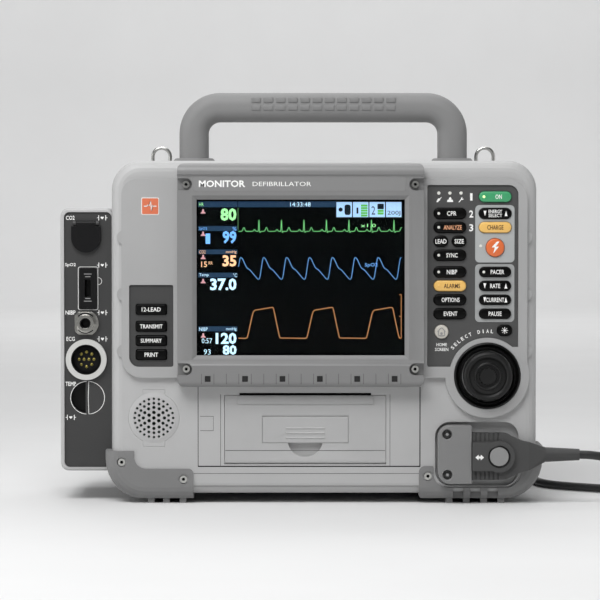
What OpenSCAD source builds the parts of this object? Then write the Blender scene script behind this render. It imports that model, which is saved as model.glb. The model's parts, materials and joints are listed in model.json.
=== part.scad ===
// Portable monitor and defibrillator, in millimetres.
// +Z is up, the front faces -Y and +X is the operator's right.
// The origin is at the middle of the footprint, on the surface that it stands on.

/* [Display] */
// Width of the picture area
lcd_w = 171; // [140:1:206]
// Height of the picture area
lcd_h = 128; // [106:1:154]
// Frame width on each side of the picture
frame_side = 15.8; // [12:0.2:20]
// Frame height above the picture, with the label strip and the ridge
frame_top = 29.7; // [24:0.1:36]
// Frame height below the picture, with the slotted lip
frame_bottom = 26; // [21:0.5:32]
// How far the frame stands in front of the case
frame_proud = 15; // [12:0.5:18]
// Thickness of the clear window
window_t = 2.5; // [2:0.1:3]
// Radius of the wells round the frame screws
screw_well_r = 5; // [4.2:0.1:6]

/* [Case] */
// Width of the column left of the display
side_col_w = 55; // [46:1:66]
// Width of the column right of the display
control_col_w = 93.8; // [85:0.1:113]
// Height of the case below the display
lower_h = 89.2; // [84:0.1:107]
// Case height above the display
top_rim = 2.5; // [2:0.1:6]
// Depth of the front and rear case together
case_d = 196; // [164:1:236]
// Depth of the front case alone
front_case_d = 80; // [72:1:90]
// Wall thickness of the cases
wall = 3; // [2.5:0.1:3.6]
// Outline radius at the upper corners
top_r = 24; // [20:1:29]
// Outline radius at the lower corners
bottom_r = 28; // [23:1:33]
// Rounding round the front and back faces
face_r = 9; // [7.5:0.5:11]
// Gap between the case and the ground
foot_h = 8; // [6.6:0.1:9.6]

/* [Bezel] */
// How far the raised bezel stands in front of the case
bezel_t = 4; // [3.4:0.1:4.8]
// Width of the bezel outside the control panels
bezel_rim = 7.7; // [6.4:0.1:9.2]
// Depth of the panels below the bezel's face
panel_recess = 1.5; // [1.2:0.1:1.8]

/* [Controls] */
// Length of a full key
key_w = 26.8; // [22.3:0.1:28]
// Gap between the keys of a group
key_gap = 2.6; // [2.2:0.1:3.1]
// Travel of a key
key_travel = 1; // [0.8:0.1:1.2]
// Radius of the round discharge key
shock_r = 7.6; // [6.4:0.1:9]
// Radius of the round home key
home_r = 5.8; // [4.8:0.1:6.4]
// Height of the panel with the four recording keys
side_panel_h = 67.3; // [60:0.1:80]
// Radius of the well round the dial
dial_well_r = 27.6; // [23:0.1:29]
// Width of the bezel ring round the dial
dial_ring_w = 7.1; // [5.9:0.1:8.4]
// Radius of the dial's push spindle
spindle_r = 3; // [2.5:0.1:3.6]

/* [Printer] */
// Width of the printer door
door_w = 133; // [111:1:150]
// Thickness of the printer door
door_t = 6; // [5:0.1:7]
// Width of the latch in the door
latch_w = 70.7; // [59:0.1:84]
// Height of the latch in the door
latch_h = 21.9; // [19:0.1:24]
// Diameter of a full paper roll
roll_d = 44; // [37:1:46]
// Radius of the paper drive roller
roller_r = 5; // [4.2:0.1:5.4]

/* [Handle] */
// Distance between the middles of the handle's legs
handle_span = 222.4; // [186:0.2:250]
// Thickness of the handle seen from the front
handle_t = 25; // [21:0.5:30]
// Thickness of the handle from front to back
handle_depth = 31; // [26:0.5:36]
// Height of the handle above the case
handle_h = 60; // [50:0.5:72]
// Radius of the wire of the strap rings
ring_wire_r = 1.5; // [1.3:0.1:1.8]

/* [Ports] */
// Width of the port module on the left side
port_w = 44; // [42:0.5:52]
// Height of the port module
port_h = 219; // [210:1:240]
// Depth of the port module
port_d = 130; // [108:1:150]
// Distance from the case front back to the port module
port_setback = 22; // [18:0.5:26]
// Bore radius of the heart lead socket
ecg_r = 12.6; // [10.5:0.1:13.2]
// Bore radius of the cuff hose socket
hose_r = 4.5; // [3.8:0.1:5.4]

/* [Therapy connector] */
// Length of the fixed receptacle block
receptacle_w = 27.8; // [23.2:0.1:33]
// Height of the connector pocket
pocket_h = 52.9; // [48:0.1:56]
// Depth of the connector pocket
pocket_d = 6; // [5:0.1:7.2]
// How far the connector stands in front of the case
plug_proud = 14; // [11.7:0.1:16.8]
// Slide of the plug out of the receptacle
plug_travel = 16; // [13.3:0.1:19]
// Diameter of the therapy cable
cord_d = 7.2; // [6:0.1:8]

/* [Batteries] */
// Width of a battery pack
battery_w = 98; // [82:1:117]
// Height of a battery pack
battery_h = 132; // [110:1:150]
// Part of a battery pack inside its well
battery_in = 26; // [21.7:0.1:31]
// Part of a battery pack behind the case
battery_proud = 20; // [16.7:0.1:24]

/* [Bumpers] */
// How far the corner bumpers stand outside the case
bumper_proud = 5.7; // [4.8:0.1:6.8]
// Length of a corner bumper from front to back
bumper_d = 52; // [43:1:62]

/* [Fit] */
// Gap round a part that moves
gap = 0.35; // [0.3:0.01:0.4]
// Gap between parts that are fixed together
seat = 0.15; // [0.1:0.01:0.2]

/* [Hidden] */
$fn = 48;
soft_fn = 32;
eps = 0.01;

KEYS_LEFT = ["key_cpr", "key_analyze", "key_lead", "key_size", "key_sync",
             "key_nibp", "key_alarms", "key_options", "key_event", "key_home"];
KEYS_RIGHT = ["key_on", "key_energy", "key_charge", "key_shock",
              "key_pacer", "key_rate", "key_current", "key_pause", "key_mode"];
KEYS_SIDE = ["key_twelve_lead", "key_transmit", "key_summary", "key_print"];
KEYS = concat(KEYS_LEFT, KEYS_RIGHT, KEYS_SIDE);

// ---- places, from left to right
frame_w = lcd_w + 2 * frame_side;
body_w = side_col_w + frame_w + control_col_w;
total_w = port_w + body_w + bumper_proud;
case_l = -total_w / 2 + port_w;
case_r = case_l + body_w;
case_mid = (case_l + case_r) / 2;
frame_l = case_l + side_col_w;
frame_r = frame_l + frame_w;
frame_mid = (frame_l + frame_r) / 2;
lcd_l = frame_l + frame_side;
lcd_r = lcd_l + lcd_w;

// ---- places, from the ground up
frame_h = frame_top + lcd_h + frame_bottom;
case_b = foot_h;
frame_b = case_b + lower_h;
frame_t = frame_b + frame_h;
case_t = frame_t + top_rim;
lcd_b = frame_b + frame_bottom;
lcd_t = lcd_b + lcd_h;

// ---- places, from front to back
total_d = frame_proud + case_d + battery_proud;
front_y = -total_d / 2;
case_f = front_y + frame_proud;
case_k = case_f + case_d;
part_y = case_f + front_case_d;
bezel_y = case_f - bezel_t;
panel_y = bezel_y + panel_recess;
lip_d = 4;
lip_t = 1.6;

// ---- display: the frame's face, its ridges and the parts behind it
frame_face = 2.2;
glass_y = front_y + frame_face + 3;
lcd_y = glass_y + window_t;
lcd_depth = 9;
glass_lap = 3;
screen_bevel = 3.4;
screw_in_x = 7.2;
screw_in_top = 17.2;
screw_in_bottom = 14.7;
screw_head_r = 2.9;
frame_screws = [for (x = [frame_l + screw_in_x, frame_r - screw_in_x],
                     z = [frame_t - screw_in_top, frame_b + screw_in_bottom]) [x, z]];
lip_notches = 6;
notch_pitch = 30.7;

// ---- bezel and its two panels
bezel_l = case_l + 8.6;
bezel_r = case_r - 8.2;
bezel_top = case_t - 15.1;
bezel_b = frame_b + 7.1;
ctl_l = frame_r + 3.2;
ctl_r = bezel_r - bezel_rim;
ctl_t = bezel_top - 5.2;
side_l = bezel_l + 6.5;
side_r = frame_l - 3.8;
side_b = bezel_b + 9.2;
panel_ledge = 2.4;

// ---- dial, at the lower end of the control column
dial_x = bezel_r - dial_well_r - 5.3;
dial_z = case_b + 97.9;
dial_front = front_y + 1;
dial_back = case_f - 1.8;
dial_r = dial_well_r - 7.4;
hub_r = dial_r / 2;
hub_lobes = 12;
dial_travel = 1;
dial_fit = 0.06;
panel_arc_r = dial_well_r + 4;
ctl_b_left = dial_z + 7.7;
ctl_b_right = dial_z + dial_well_r - 3.5;

// ---- key rows: 9.7 pitches between the top row and the row above the dial
first_row = ctl_t - 9.5;
last_row = dial_z + dial_well_r + 8.8;
row_pitch = (first_row - last_row) / 9.7;
key_h = row_pitch - key_gap;
col_a = ctl_l + 5.1 + key_w / 2;
col_b = ctl_r - 5.6 - key_w / 2;
short_w = (key_w - 3.2) / 2;
mode_w = 12.3;
mode_x = col_b + key_w / 2 - mode_w / 2 + 0.7;
mode_gap = 0.42;
key_front = bezel_y - 0.5;
key_lip = 0.7;
key_lip_t = 1.4;
// The round end of the mode key clears the arc of the window that goes round the dial.
mode_z = dial_z + sqrt(pow(panel_arc_r + panel_ledge + key_lip + key_h / 2 + mode_gap, 2)
    - pow(mode_x - (mode_w - key_h) / 2 - dial_x, 2));
side_key_w = 25.4;
side_key_h = 8.4;
side_key_r = 1.8;
side_pitch = 11.4;
side_key_x = (side_l + side_r) / 2;
function row(k) = first_row - k * row_pitch;
function side_row(k) = side_b + 9.9 + k * side_pitch;

// One line per key: name, middle x, middle z, width, height.
key_table = [
    ["key_on", col_b, row(0), key_w, key_h],
    ["key_cpr", col_a, row(1.2), key_w, key_h],
    ["key_analyze", col_a, row(2.2), key_w, key_h],
    ["key_lead", col_a - (key_w - short_w) / 2, row(3.2), short_w, key_h],
    ["key_size", col_a + (key_w - short_w) / 2, row(3.2), short_w, key_h],
    ["key_sync", col_a, row(4.2), key_w, key_h],
    ["key_nibp", col_a, row(5.4), key_w, key_h],
    ["key_alarms", col_a, row(6.4), key_w, key_h],
    ["key_options", col_a, row(7.4), key_w, key_h],
    ["key_event", col_a, row(8.4), key_w, key_h],
    ["key_home", col_a - key_w / 2 + home_r + 0.7, row(9.7), 2 * home_r, 2 * home_r],
    ["key_energy", col_b, row(1.2), key_w, key_h],
    ["key_charge", col_b, row(2.2), key_w, key_h],
    ["key_shock", col_b, row(3.65), 2 * shock_r, 2 * shock_r],
    ["key_pacer", col_b, row(5.4), key_w, key_h],
    ["key_rate", col_b, row(6.4), key_w, key_h],
    ["key_current", col_b, row(7.4), key_w, key_h],
    ["key_pause", col_b, row(8.4), key_w, key_h],
    ["key_mode", mode_x, mode_z, mode_w, key_h],
    ["key_twelve_lead", side_key_x, side_row(3.28), side_key_w, side_key_h],
    ["key_transmit", side_key_x, side_row(2.05), side_key_w, side_key_h],
    ["key_summary", side_key_x, side_row(1.02), side_key_w, side_key_h],
    ["key_print", side_key_x, side_row(0), side_key_w, side_key_h]
];
function key_place(name) = [for (k = key_table) if (k[0] == name) k][0];
function is_side(name) = len([for (k = KEYS_SIDE) if (k == name) k]) > 0;
// The two raised pads: [left, right, bottom, top].
pad_l = col_b - key_w / 2 - 3;
pad_r = col_b + key_w / 2 + 2.6;
shock_pad = [pad_l, pad_r, row(4.72), row(0.6)];
pace_pad = [pad_l, pad_r, row(9), row(4.84)];
pad_t = 0.3;

// ---- printer, below the display
printer_l = frame_l + 16.6;
printer_r = frame_r - 2.7;
printer_b = case_b + 22.9;
printer_t = frame_b - 0.4;
door_mid = frame_mid + 3.8;
door_l = door_mid - door_w / 2;
door_r = door_mid + door_w / 2;
door_top = printer_t - 7.4;
hinge_r = 2.2;
hinge_pin_r = 1.2;
pin_fit = 0.05;
pin_l = 3;
hinge_y = case_f + hinge_r;
hinge_z = printer_b + 1.9 + hinge_r;
tear_bar_in = 10;
tear_bar_w = door_w - 2 * tear_bar_in;
slot_w = tear_bar_w - 4;
slot_h = 2.2;
tear_bar_h = 7;
latch_b = printer_b + 19.5;
latch_t = 2.6;
latch_pin_r = 0.9;
latch_y = case_f + latch_t / 2;
latch_z = latch_b + latch_h - latch_t / 2;
scoop_r = 14.7;
scoop_h = 11.9;
scoop_d = door_t - 1.4;
bay_wall = 4;
fascia_t = 1.5;
roller_y = case_f + door_t + roller_r + 2;
roller_z = door_top - slot_h - roller_r - 2.2;
roller_w = 104;
roller_pin_r = 2;
roll_y = roller_y + roller_r + roll_d / 2 + 3;
roll_z = printer_b + 6 + roll_d / 2;
roll_w = 104;
roll_core_r = 9;
bay_back = roll_y + roll_d / 2 + 2;

// ---- speaker
speaker_x = case_l + 35;
speaker_z = case_b + 62.9;
speaker_r = 21;
speaker_seat = 1.6;

// ---- therapy connector, in the lower right corner
pocket_l = case_r - 84;
pocket_r = case_r - 14.8;
pocket_b = case_b + 6.8;
pocket_t = pocket_b + pocket_h;
pocket_y = case_f + pocket_d;
pocket_corner = 12.5;
recept_l = pocket_l + 1.9;
recept_r = recept_l + receptacle_w;
recept_f = case_f - plug_proud + 1.5;
recept_screws = [[recept_l + 7.5, pocket_t - 9.5], [recept_l + 7.8, pocket_b + 10]];
plug_l = recept_r + 0.35;
plug_foot_r = pocket_r - plug_travel - 2;
neck_x = plug_l + 46.6;
plug_z = (pocket_b + pocket_t) / 2 - 1.3;
plug_half = 19.5;
neck_half = 11.5;
plug_f = case_f - plug_proud;
plug_k = case_f - 3.2;
plug_step = 3.5;
plug_mid_y = (plug_f + plug_step + plug_k) / 2;
blade_l = min(14, plug_travel - 1);
blade_half_t = 2.2;
blade_half_h = 12;
release_x = plug_l + 22.1;
release_r = 7.8;
release_travel = 2;
release_h = 5;
boot_l = 42;
boot_r0 = 6.1;
boot_r1 = 4.7;
boot_blend = 14;
cord_r = cord_d / 2;

// ---- corner bumpers, with the right one also passing under the connector pocket
bumper_front = 1.5;
bump_l = case_l - bumper_proud;
bump_r = case_r + bumper_proud;
bump_b = case_b / 2;
bump_screw_r = 3;
foot_w = 5.4;
left_arm_end = frame_l + 12.4;
left_arm_top = case_b + 20.7;
left_lobe_r = case_l + 18.4;
left_lobe_top = case_b + 35.5;
right_arm_l = pocket_l - 13.3;
right_arm_top = case_b + 23;
right_lobe_top = case_b + 39.5;
bump_screws = [[case_l + 8.3, case_b + 26.3], [frame_l + 4.4, case_b + 12.2],
               [right_arm_l + 7.4, case_b + 14.7]];

// ---- batteries and the rear
batt_gap = 8;
batt_b = case_b + 104;
batt_t = batt_b + battery_h;
batt_corner = 8;
function batt_mid(side) = case_mid + side * (battery_w + batt_gap) / 2;
well_y = case_k - battery_in - 1;
aux_x = case_mid + 52;
sys_x = case_mid - 52;
rear_port_z = case_b + 62;
rear_port_r = 9;

// ---- port module
port_l = case_l - port_w;
port_b = case_b + 17;
port_t = port_b + port_h;
port_f = case_f + port_setback;
port_k = port_f + port_d;
port_face = port_f + 1.2;
port_panel_t = 2.5;
port_rim = 3.2;
port_x = port_l + port_w / 2 - 0.5;
co2_z = port_t - 26;
spo2_z = port_t - 66.6;
nibp_z = port_t - 95.6;
ecg_z = port_t - 126;
temp_z = port_t - 158;
temp_r = 13.2;
ecg_depth = 14;
ecg_wall = 4.4;
hose_depth = 12;
co2_w = 24.6;
co2_h = 21.6;
co2_bar_w = 16;
co2_bar_r = 1.8;
co2_y = port_face - 2.2;
co2_axis_z = co2_z + co2_h / 2 + 3;
socket_r = 17;

// ---- handle
handle_y = part_y + 24;
handle_top = case_t + handle_h;
handle_bend = 22.5;
flange_r = 18.8;
flange_t = 4;
grip_cols = 12;
grip_pitch = 10.5;
ring_in_r = 6;
ring_leg = 5.3;
ring_span = handle_span + 2 * (flange_r + ring_in_r + 2 * ring_wire_r + gap);

// ---- the route of the loose part of the therapy cable, from the boot's tip
cord_start = [neck_x + boot_l, plug_mid_y, plug_z + 1.2];
cord_floor = cord_r + 0.2;
route = [
    cord_start, cord_start + [10, 0, -0.5], cord_start + [22, 0.8, -2.5],
    [263, -104, 34], [276, -98, 27.5], [286, -88, 20.5], [292, -74, 14],
    [292, -58, 9], [287, -43, 5.5], [277, -30, cord_floor], [264, -19, cord_floor],
    [249, -9, cord_floor], [234, 2, cord_floor], [221, 14, cord_floor],
    [212, 30, cord_floor], [208, 49, cord_floor], [207, 70, cord_floor],
    [207, 91, cord_floor], [204, 111, cord_floor], [199, 130, cord_floor],
    [193, 150, cord_floor], [187, 170, cord_floor], [184.5, 180, cord_floor]
];

// ---- the coil of two layers, and the pads connector on the turn that leaves it
coil_x = 127;
coil_y = 191;
coil_in_r = 25;
coil_out_r = 57.8;
coil_h = 14.8;
coil_round = 3.4;
far_body_l = 48;
far_boot_l = 14;
far_stub_l = 20;
far_w = 30;
far_t = 18;
far_wall = 3.5;
far_socket = 12;
far_y = coil_y + coil_out_r - cord_r;
far_z = cord_floor + 1.4;
far_end = coil_x - sqrt(pow(coil_out_r, 2) - pow(coil_out_r - cord_r, 2));

// ================= shared shapes =================

// Points on an arc in the plane.
function arc(cx, cy, r, a0, a1, n) =
    [for (i = [0:n]) let (a = a0 + (a1 - a0) * i / n) [cx + r * cos(a), cy + r * sin(a)]];

function unit(v) = v / norm(v);

// Extrudes a front-view outline from depth y0 back to depth y1.
module plate(y0, y1) {
    translate([0, y1, 0]) rotate([90, 0, 0]) linear_extrude(height = y1 - y0) children();
}

// Extrudes a side-view outline, drawn as (y, z), from x0 to x1.
module beam(x0, x1) {
    translate([x0, 0, 0]) rotate([90, 0, 90]) linear_extrude(height = x1 - x0) children();
}

// A cylinder along Y, from y0 to y1.
module rod_y(x, z, r, y0, y1) {
    translate([x, y0, z]) rotate([-90, 0, 0]) cylinder(r = r, h = y1 - y0);
}

// A cylinder along X, from x0 to x1.
module rod_x(y, z, r, x0, x1) {
    translate([x0, y, z]) rotate([0, 90, 0]) cylinder(r = r, h = x1 - x0);
}

// A block from its two corners.
module block(a, b) {
    translate(a) cube(b - a);
}

// The waste outside a rounded corner at the origin, in the quadrant (sx, sz).
module corner_waste(r, sx, sz) {
    mirror([sx < 0 ? 1 : 0, 0]) mirror([0, sz < 0 ? 1 : 0]) difference() {
        translate([-1, -1]) square([r + 1, r + 1]);
        translate([r, r]) circle(r);
    }
}

// A rectangle whose corners have radii [lower left, lower right, upper right, upper left].
module round_rect(x0, x1, z0, z1, r) {
    c = is_list(r) ? r : [r, r, r, r];
    difference() {
        translate([x0, z0]) square([x1 - x0, z1 - z0]);
        if (c[0] > 0) translate([x0, z0]) corner_waste(c[0], 1, 1);
        if (c[1] > 0) translate([x1, z0]) corner_waste(c[1], -1, 1);
        if (c[2] > 0) translate([x1, z1]) corner_waste(c[2], -1, -1);
        if (c[3] > 0) translate([x0, z1]) corner_waste(c[3], 1, -1);
    }
}

// A pill or a circle, by its middle and size.
module pill(x, z, w, h) {
    r = min(w, h) / 2;
    if (w > h + eps) {
        for (s = [-1, 1]) translate([x + s * (w / 2 - r), z]) circle(r);
        translate([x - w / 2 + r, z - r]) square([w - 2 * r, 2 * r]);
    } else {
        translate([x, z]) circle(r);
    }
}

// A disc about Y with its front and back rims rounded.
module pebble(r, y0, y1, f0, f1) {
    rotate([-90, 0, 0]) rotate_extrude($fn = soft_fn)
        polygon(concat([[0, y0]],
            f0 > 0 ? arc(r - f0, y0 + f0, f0, -90, 0, 5) : [[r, y0]],
            f1 > 0 ? arc(r - f1, y1 - f1, f1, 0, 90, 5) : [[r, y1]],
            [[0, y1]]));
}

// A box with rounded corners in front view and rounded front and back rims.
module slab(x0, x1, z0, z1, rt, rb, y0, y1, f0, f1) {
    hull() {
        for (x = [x0 + rt, x1 - rt]) translate([x, 0, z1 - rt]) pebble(rt, y0, y1, f0, f1);
        for (x = [x0 + rb, x1 - rb]) translate([x, 0, z0 + rb]) pebble(rb, y0, y1, f0, f1);
    }
}

// A closed bar whose section, a list of (u, v) points, follows the points of a path.
// v runs along the side direction, which no stretch of the path may be parallel to.
module bar_along(path, section, side) {
    n = len(path);
    m = len(section);
    function way(i) = unit(path[min(i + 1, n - 1)] - path[max(i - 1, 0)]);
    rings = [for (i = [0:n - 1])
        let (t = way(i), u = unit(cross(side, t)), v = cross(t, u))
        for (p = section) path[i] + p[0] * u + p[1] * v];
    walls = [for (i = [0:n - 2], j = [0:m - 1])
        let (k = (j + 1) % m, a = i * m + j, b = i * m + k)
        each [[a, b + m, b], [a, a + m, b + m]]];
    polyhedron(points = rings, convexity = 6, faces = concat(
        [[for (j = [0:m - 1]) j]], walls, [[for (j = [m - 1:-1:0]) (n - 1) * m + j]]));
}

// ================= outlines in front view =================

module bezel_outline(g) {
    round_rect(bezel_l - g, frame_l + 20, bezel_b - g, bezel_top + g, [17, 0, 0, 13]);
    round_rect(frame_l + 10, bezel_r + g, bezel_b - g, bezel_top + g, [0, 0, 17, 0]);
    translate([dial_x, dial_z]) circle(dial_well_r + dial_ring_w + g);
}

module frame_outline(g) {
    round_rect(frame_l - g, frame_r + g, frame_b - g, frame_t + g, [6, 6, 5, 5]);
}

module control_outline(g) {
    difference() {
        round_rect(ctl_l - g, ctl_r + g, ctl_b_left - g, ctl_t + g, [1.5, 0, 8, 1.5]);
        translate([dial_x, dial_z]) circle(panel_arc_r - g);
        translate([dial_x, ctl_b_left - g - 1])
            square([ctl_r + g + 1 - dial_x, ctl_b_right - ctl_b_left + 1]);
    }
}

module side_outline(g) {
    round_rect(side_l - g, side_r + g, side_b - g, side_b + side_panel_h + g, [8, 1.5, 1.5, 1.5]);
}

module key_outline(name, g) {
    k = key_place(name);
    if (is_side(name)) {
        round_rect(k[1] - k[3] / 2 - g, k[1] + k[3] / 2 + g,
            k[2] - k[4] / 2 - g, k[2] + k[4] / 2 + g, side_key_r);
    } else {
        pill(k[1], k[2], k[3] + 2 * g, k[4] + 2 * g);
    }
}

module pocket_outline(g) {
    round_rect(pocket_l - g, pocket_r + g, pocket_b - g, pocket_t + g, pocket_corner);
}

// The inside of both cases, with the outline shrunk by g more.
module inner_outline(g) {
    w = wall + g;
    round_rect(case_l + w, case_r - w, case_b + w, case_t - w,
        [bottom_r - w, bottom_r - w, top_r - w, top_r - w]);
}

// ================= cases =================

// The outside of the cases, grown by g.
module case_body(g, y0, y1, f0, f1) {
    slab(case_l - g, case_r + g, case_b - g, case_t + g, top_r + g, bottom_r + g, y0, y1, f0, f1);
}

module front_case() {
    color([0.64, 0.64, 0.64]) difference() {
        case_body(0, case_f, part_y, face_r, 0);
        // the inside, except for the walls of the connector pocket
        difference() {
            plate(case_f + wall, part_y + 1) inner_outline(0);
            plate(case_f, pocket_y + wall) pocket_outline(wall);
        }
        plate(case_f - 1, pocket_y) pocket_outline(0);
        // windows behind the display, the keys and the printer
        plate(case_f - 1, case_f + wall + 1) {
            round_rect(lcd_l - 4, lcd_r + 4, lcd_b - 4, lcd_t + 4, 2);
            intersection() {
                control_outline(-panel_ledge);
                translate([ctl_l, last_row - 8]) square([ctl_r - ctl_l, ctl_t - last_row + 8]);
            }
            side_outline(-panel_ledge);
            round_rect(printer_l + 3, printer_r - 3, printer_b + 0.3, printer_t - 2.4, 1);
        }
        // seats for the printer's face and the speaker grille
        plate(case_f - 1, case_f + fascia_t)
            round_rect(printer_l - seat, printer_r + seat, printer_b - seat, printer_t + seat, 1);
        plate(case_f - 1, case_f + speaker_seat) speaker_outline(seat);
        rod_y(speaker_x, speaker_z, speaker_r - 3, case_f, case_f + wall + 1);
        rod_y(dial_x, dial_z, spindle_r + 0.6, case_f - 1, case_f + wall + 1);
    }
}

module rear_case() {
    color([0.62, 0.62, 0.62]) difference() {
        union() {
            difference() {
                case_body(0, part_y, case_k, 0, face_r);
                plate(part_y - 1, case_k - wall) inner_outline(0);
            }
            // the tongue that seats inside the front case
            difference() {
                union() {
                    plate(part_y - lip_d, part_y + 1) inner_outline(seat);
                    plate(part_y, part_y + wall) inner_outline(-0.5);
                }
                plate(part_y - lip_d - 1, part_y + wall + 1) inner_outline(seat + lip_t);
            }
            for (side = [-1, 1]) plate(well_y - wall, case_k - 1) battery_outline(side, gap + wall);
        }
        for (side = [-1, 1]) plate(well_y, case_k + 1) battery_outline(side, gap);
        for (x = [aux_x, sys_x])
            rod_y(x, rear_port_z, rear_port_r + seat, case_k - wall - 1, case_k + 1);
    }
}

module front_bezel() {
    color([0.66, 0.66, 0.66]) difference() {
        union() {
            plate(bezel_y, case_f) bezel_outline(0);
            plate(bezel_y + bezel_t / 2, case_f) bezel_bosses();
        }
        plate(bezel_y - 1, case_f + 1) {
            frame_outline(seat);
            control_outline(seat);
            side_outline(seat);
            translate([dial_x, dial_z]) circle(dial_well_r);
        }
    }
}

// Snap bosses along the bezel's sides.
module bezel_bosses() {
    for (z = [frame_b + 29, frame_b + 76, frame_b + 123], x = [bezel_l + 1.6, bezel_r - 1.6])
        translate([x, z]) circle(5.6);
}

module speaker_outline(g) {
    translate([speaker_x, speaker_z]) circle(speaker_r + g);
    translate([speaker_x - 9 - g, speaker_z - speaker_r - 2.4 - g])
        square([18 + 2 * g, 2 * speaker_r + 4.8 + 2 * g]);
}

// A disc on two tabs, with rings of 6, 12, 18 and 24 holes round a middle one.
module speaker_grille() {
    hole_rings = [[0, 1, 1.5], [4.6, 6, 1.5], [8.7, 12, 1.35], [12.3, 18, 1.2], [15.9, 24, 1.05]];
    r = speaker_r;
    color([0.66, 0.66, 0.66]) difference() {
        union() {
            plate(case_f - 0.2, case_f + speaker_seat) speaker_outline(0);
            translate([speaker_x, case_f, speaker_z]) rotate([-90, 0, 0]) rotate_extrude()
                polygon([[0, -1.1], [r - 3.5, -1.1], [r, -0.2], [r, 0.5], [0, 0.5]]);
        }
        plate(case_f - 2, case_f + speaker_seat + 1)
            for (h = hole_rings, i = [0:h[1] - 1])
                translate([speaker_x + h[0] * sin(i * 360 / h[1]),
                           speaker_z + h[0] * cos(i * 360 / h[1])]) circle(h[2], $fn = 16);
    }
}

// ================= display =================

// Side view of the display frame: a rolled top edge and a lip below the picture.
module frame_profile() {
    polygon(concat(
        [[case_f, frame_b]],
        arc(front_y + 5, frame_b + 5, 5, 270, 180, 8),
        [[front_y, frame_b + 18], [front_y + frame_face, frame_b + 22],
         [front_y + frame_face, frame_t - 10.5], [front_y + 0.8, frame_t - 9]],
        arc(front_y + 8.3, frame_t - 7.5, 7.5, 180, 90, 10),
        [[case_f, frame_t]]));
}

module display_frame() {
    color([0.5, 0.5, 0.5]) difference() {
        intersection() {
            beam(frame_l, frame_r) frame_profile();
            plate(front_y, case_f) frame_outline(0);
        }
        // the sloping sides round the picture
        hull() {
            plate(front_y + frame_face - 1, front_y + frame_face)
                round_rect(lcd_l - screen_bevel, lcd_r + screen_bevel,
                    lcd_b - screen_bevel, lcd_t + screen_bevel, 0);
            plate(glass_y - 1, glass_y - 0.8) round_rect(lcd_l, lcd_r, lcd_b, lcd_t, 0);
        }
        plate(glass_y - 2, glass_y + 1) round_rect(lcd_l, lcd_r, lcd_b, lcd_t, 0);
        // the seat of the window and of the display behind it
        plate(glass_y, case_f + 1) round_rect(lcd_l - glass_lap, lcd_r + glass_lap,
            lcd_b - glass_lap, lcd_t + glass_lap, 0);
        // wells round the corner screws, open to the frame's side
        plate(front_y - 1, front_y + 7) for (p = frame_screws) {
            translate(p) circle(screw_well_r);
            translate([p[0] < frame_mid ? frame_l - 1 : p[0], p[1] - screw_well_r])
                square([screw_in_x + 1, 2 * screw_well_r]);
        }
        for (p = frame_screws) rod_y(p[0], p[1], 1.6, front_y, case_f + 1);
        // notches under the lip
        for (i = [0:lip_notches - 1]) let (x = frame_mid + 0.4 + (i - (lip_notches - 1) / 2) * notch_pitch)
            block([x - 2.4, front_y - 1, frame_b + 4.4], [x + 2.4, front_y + 3, frame_b + 9.3]);
    }
}

module display_window() {
    g = glass_lap - seat;
    color([0.1, 0.12, 0.14, 0.4]) plate(glass_y, lcd_y)
        round_rect(lcd_l - g, lcd_r + g, lcd_b - g, lcd_t + g, 0);
}

module lcd_panel() {
    g = glass_lap - seat;
    color([0.08, 0.09, 0.1]) plate(lcd_y, lcd_y + lcd_depth)
        round_rect(lcd_l - g, lcd_r + g, lcd_b - g, lcd_t + g, 0);
}

// ================= keys and panels =================

module control_panel() {
    color([0.2, 0.2, 0.21]) difference() {
        union() {
            plate(panel_y, case_f) control_outline(0);
            for (p = [shock_pad, pace_pad])
                plate(panel_y - pad_t, case_f) round_rect(p[0], p[1], p[2], p[3], 3.5);
        }
        plate(panel_y - 1, case_f + 1)
            for (name = concat(KEYS_LEFT, KEYS_RIGHT)) key_outline(name, gap);
    }
}

module side_panel() {
    color([0.3, 0.3, 0.31]) difference() {
        plate(panel_y, case_f) side_outline(0);
        plate(panel_y - 1, case_f + 1) for (name = KEYS_SIDE) key_outline(name, gap);
    }
}

// A key: its cap in the panel, and the rim behind the panel that keeps it in.
module key(name, shade) {
    color(shade) {
        plate(key_front, case_f + gap) key_outline(name, 0);
        plate(case_f + gap - eps, case_f + gap + key_lip_t) key_outline(name, key_lip);
    }
}

function key_shade(name) =
    name == "key_on" ? [0.25, 0.56, 0.42] :
    name == "key_shock" ? [0.81, 0.48, 0.3] :
    name == "key_charge" || name == "key_alarms" ? [0.87, 0.72, 0.4] :
    name == "key_home" ? [0.73, 0.73, 0.71] : [0.12, 0.12, 0.12];

// ================= dial =================

module dial_spindle() {
    color([0.5, 0.5, 0.52]) {
        rod_y(dial_x, dial_z, spindle_r, dial_front + 4.3, case_f + wall + 9);
        rod_y(dial_x, dial_z, spindle_r + 3, case_f + wall + 2.4, case_f + wall + 6);
    }
}

// A dished knob with a raised, scalloped hub, turned about the spindle.
module dial_knob() {
    h = dial_back - dial_front;
    color([0.11, 0.11, 0.11]) translate([dial_x, dial_front, dial_z]) rotate([-90, 0, 0]) difference() {
        rotate_extrude() polygon(concat(
            [[0, 0.2], [hub_r - 3.4, 0.2], [hub_r - 2.4, 2.6], [hub_r - 1.2, 2.6]],
            arc(hub_r + 0.2, 2.6, 1.4, 180, 360, 8),
            [[dial_r - 4.5, 3.2]],
            arc(dial_r - 2.6, 2.6, 2.6, 200, 360, 8),
            [[dial_r, h - 1.5], [dial_r - 1.5, h], [0, h]]));
        for (i = [0:hub_lobes - 1]) rotate([0, 0, i * 360 / hub_lobes])
            translate([hub_r - 2.6, 0, -1]) cylinder(r = 1.1, h = 3.2, $fn = 16);
        translate([0, 0, 4]) cylinder(r = spindle_r + dial_fit, h = h);
    }
}

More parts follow.
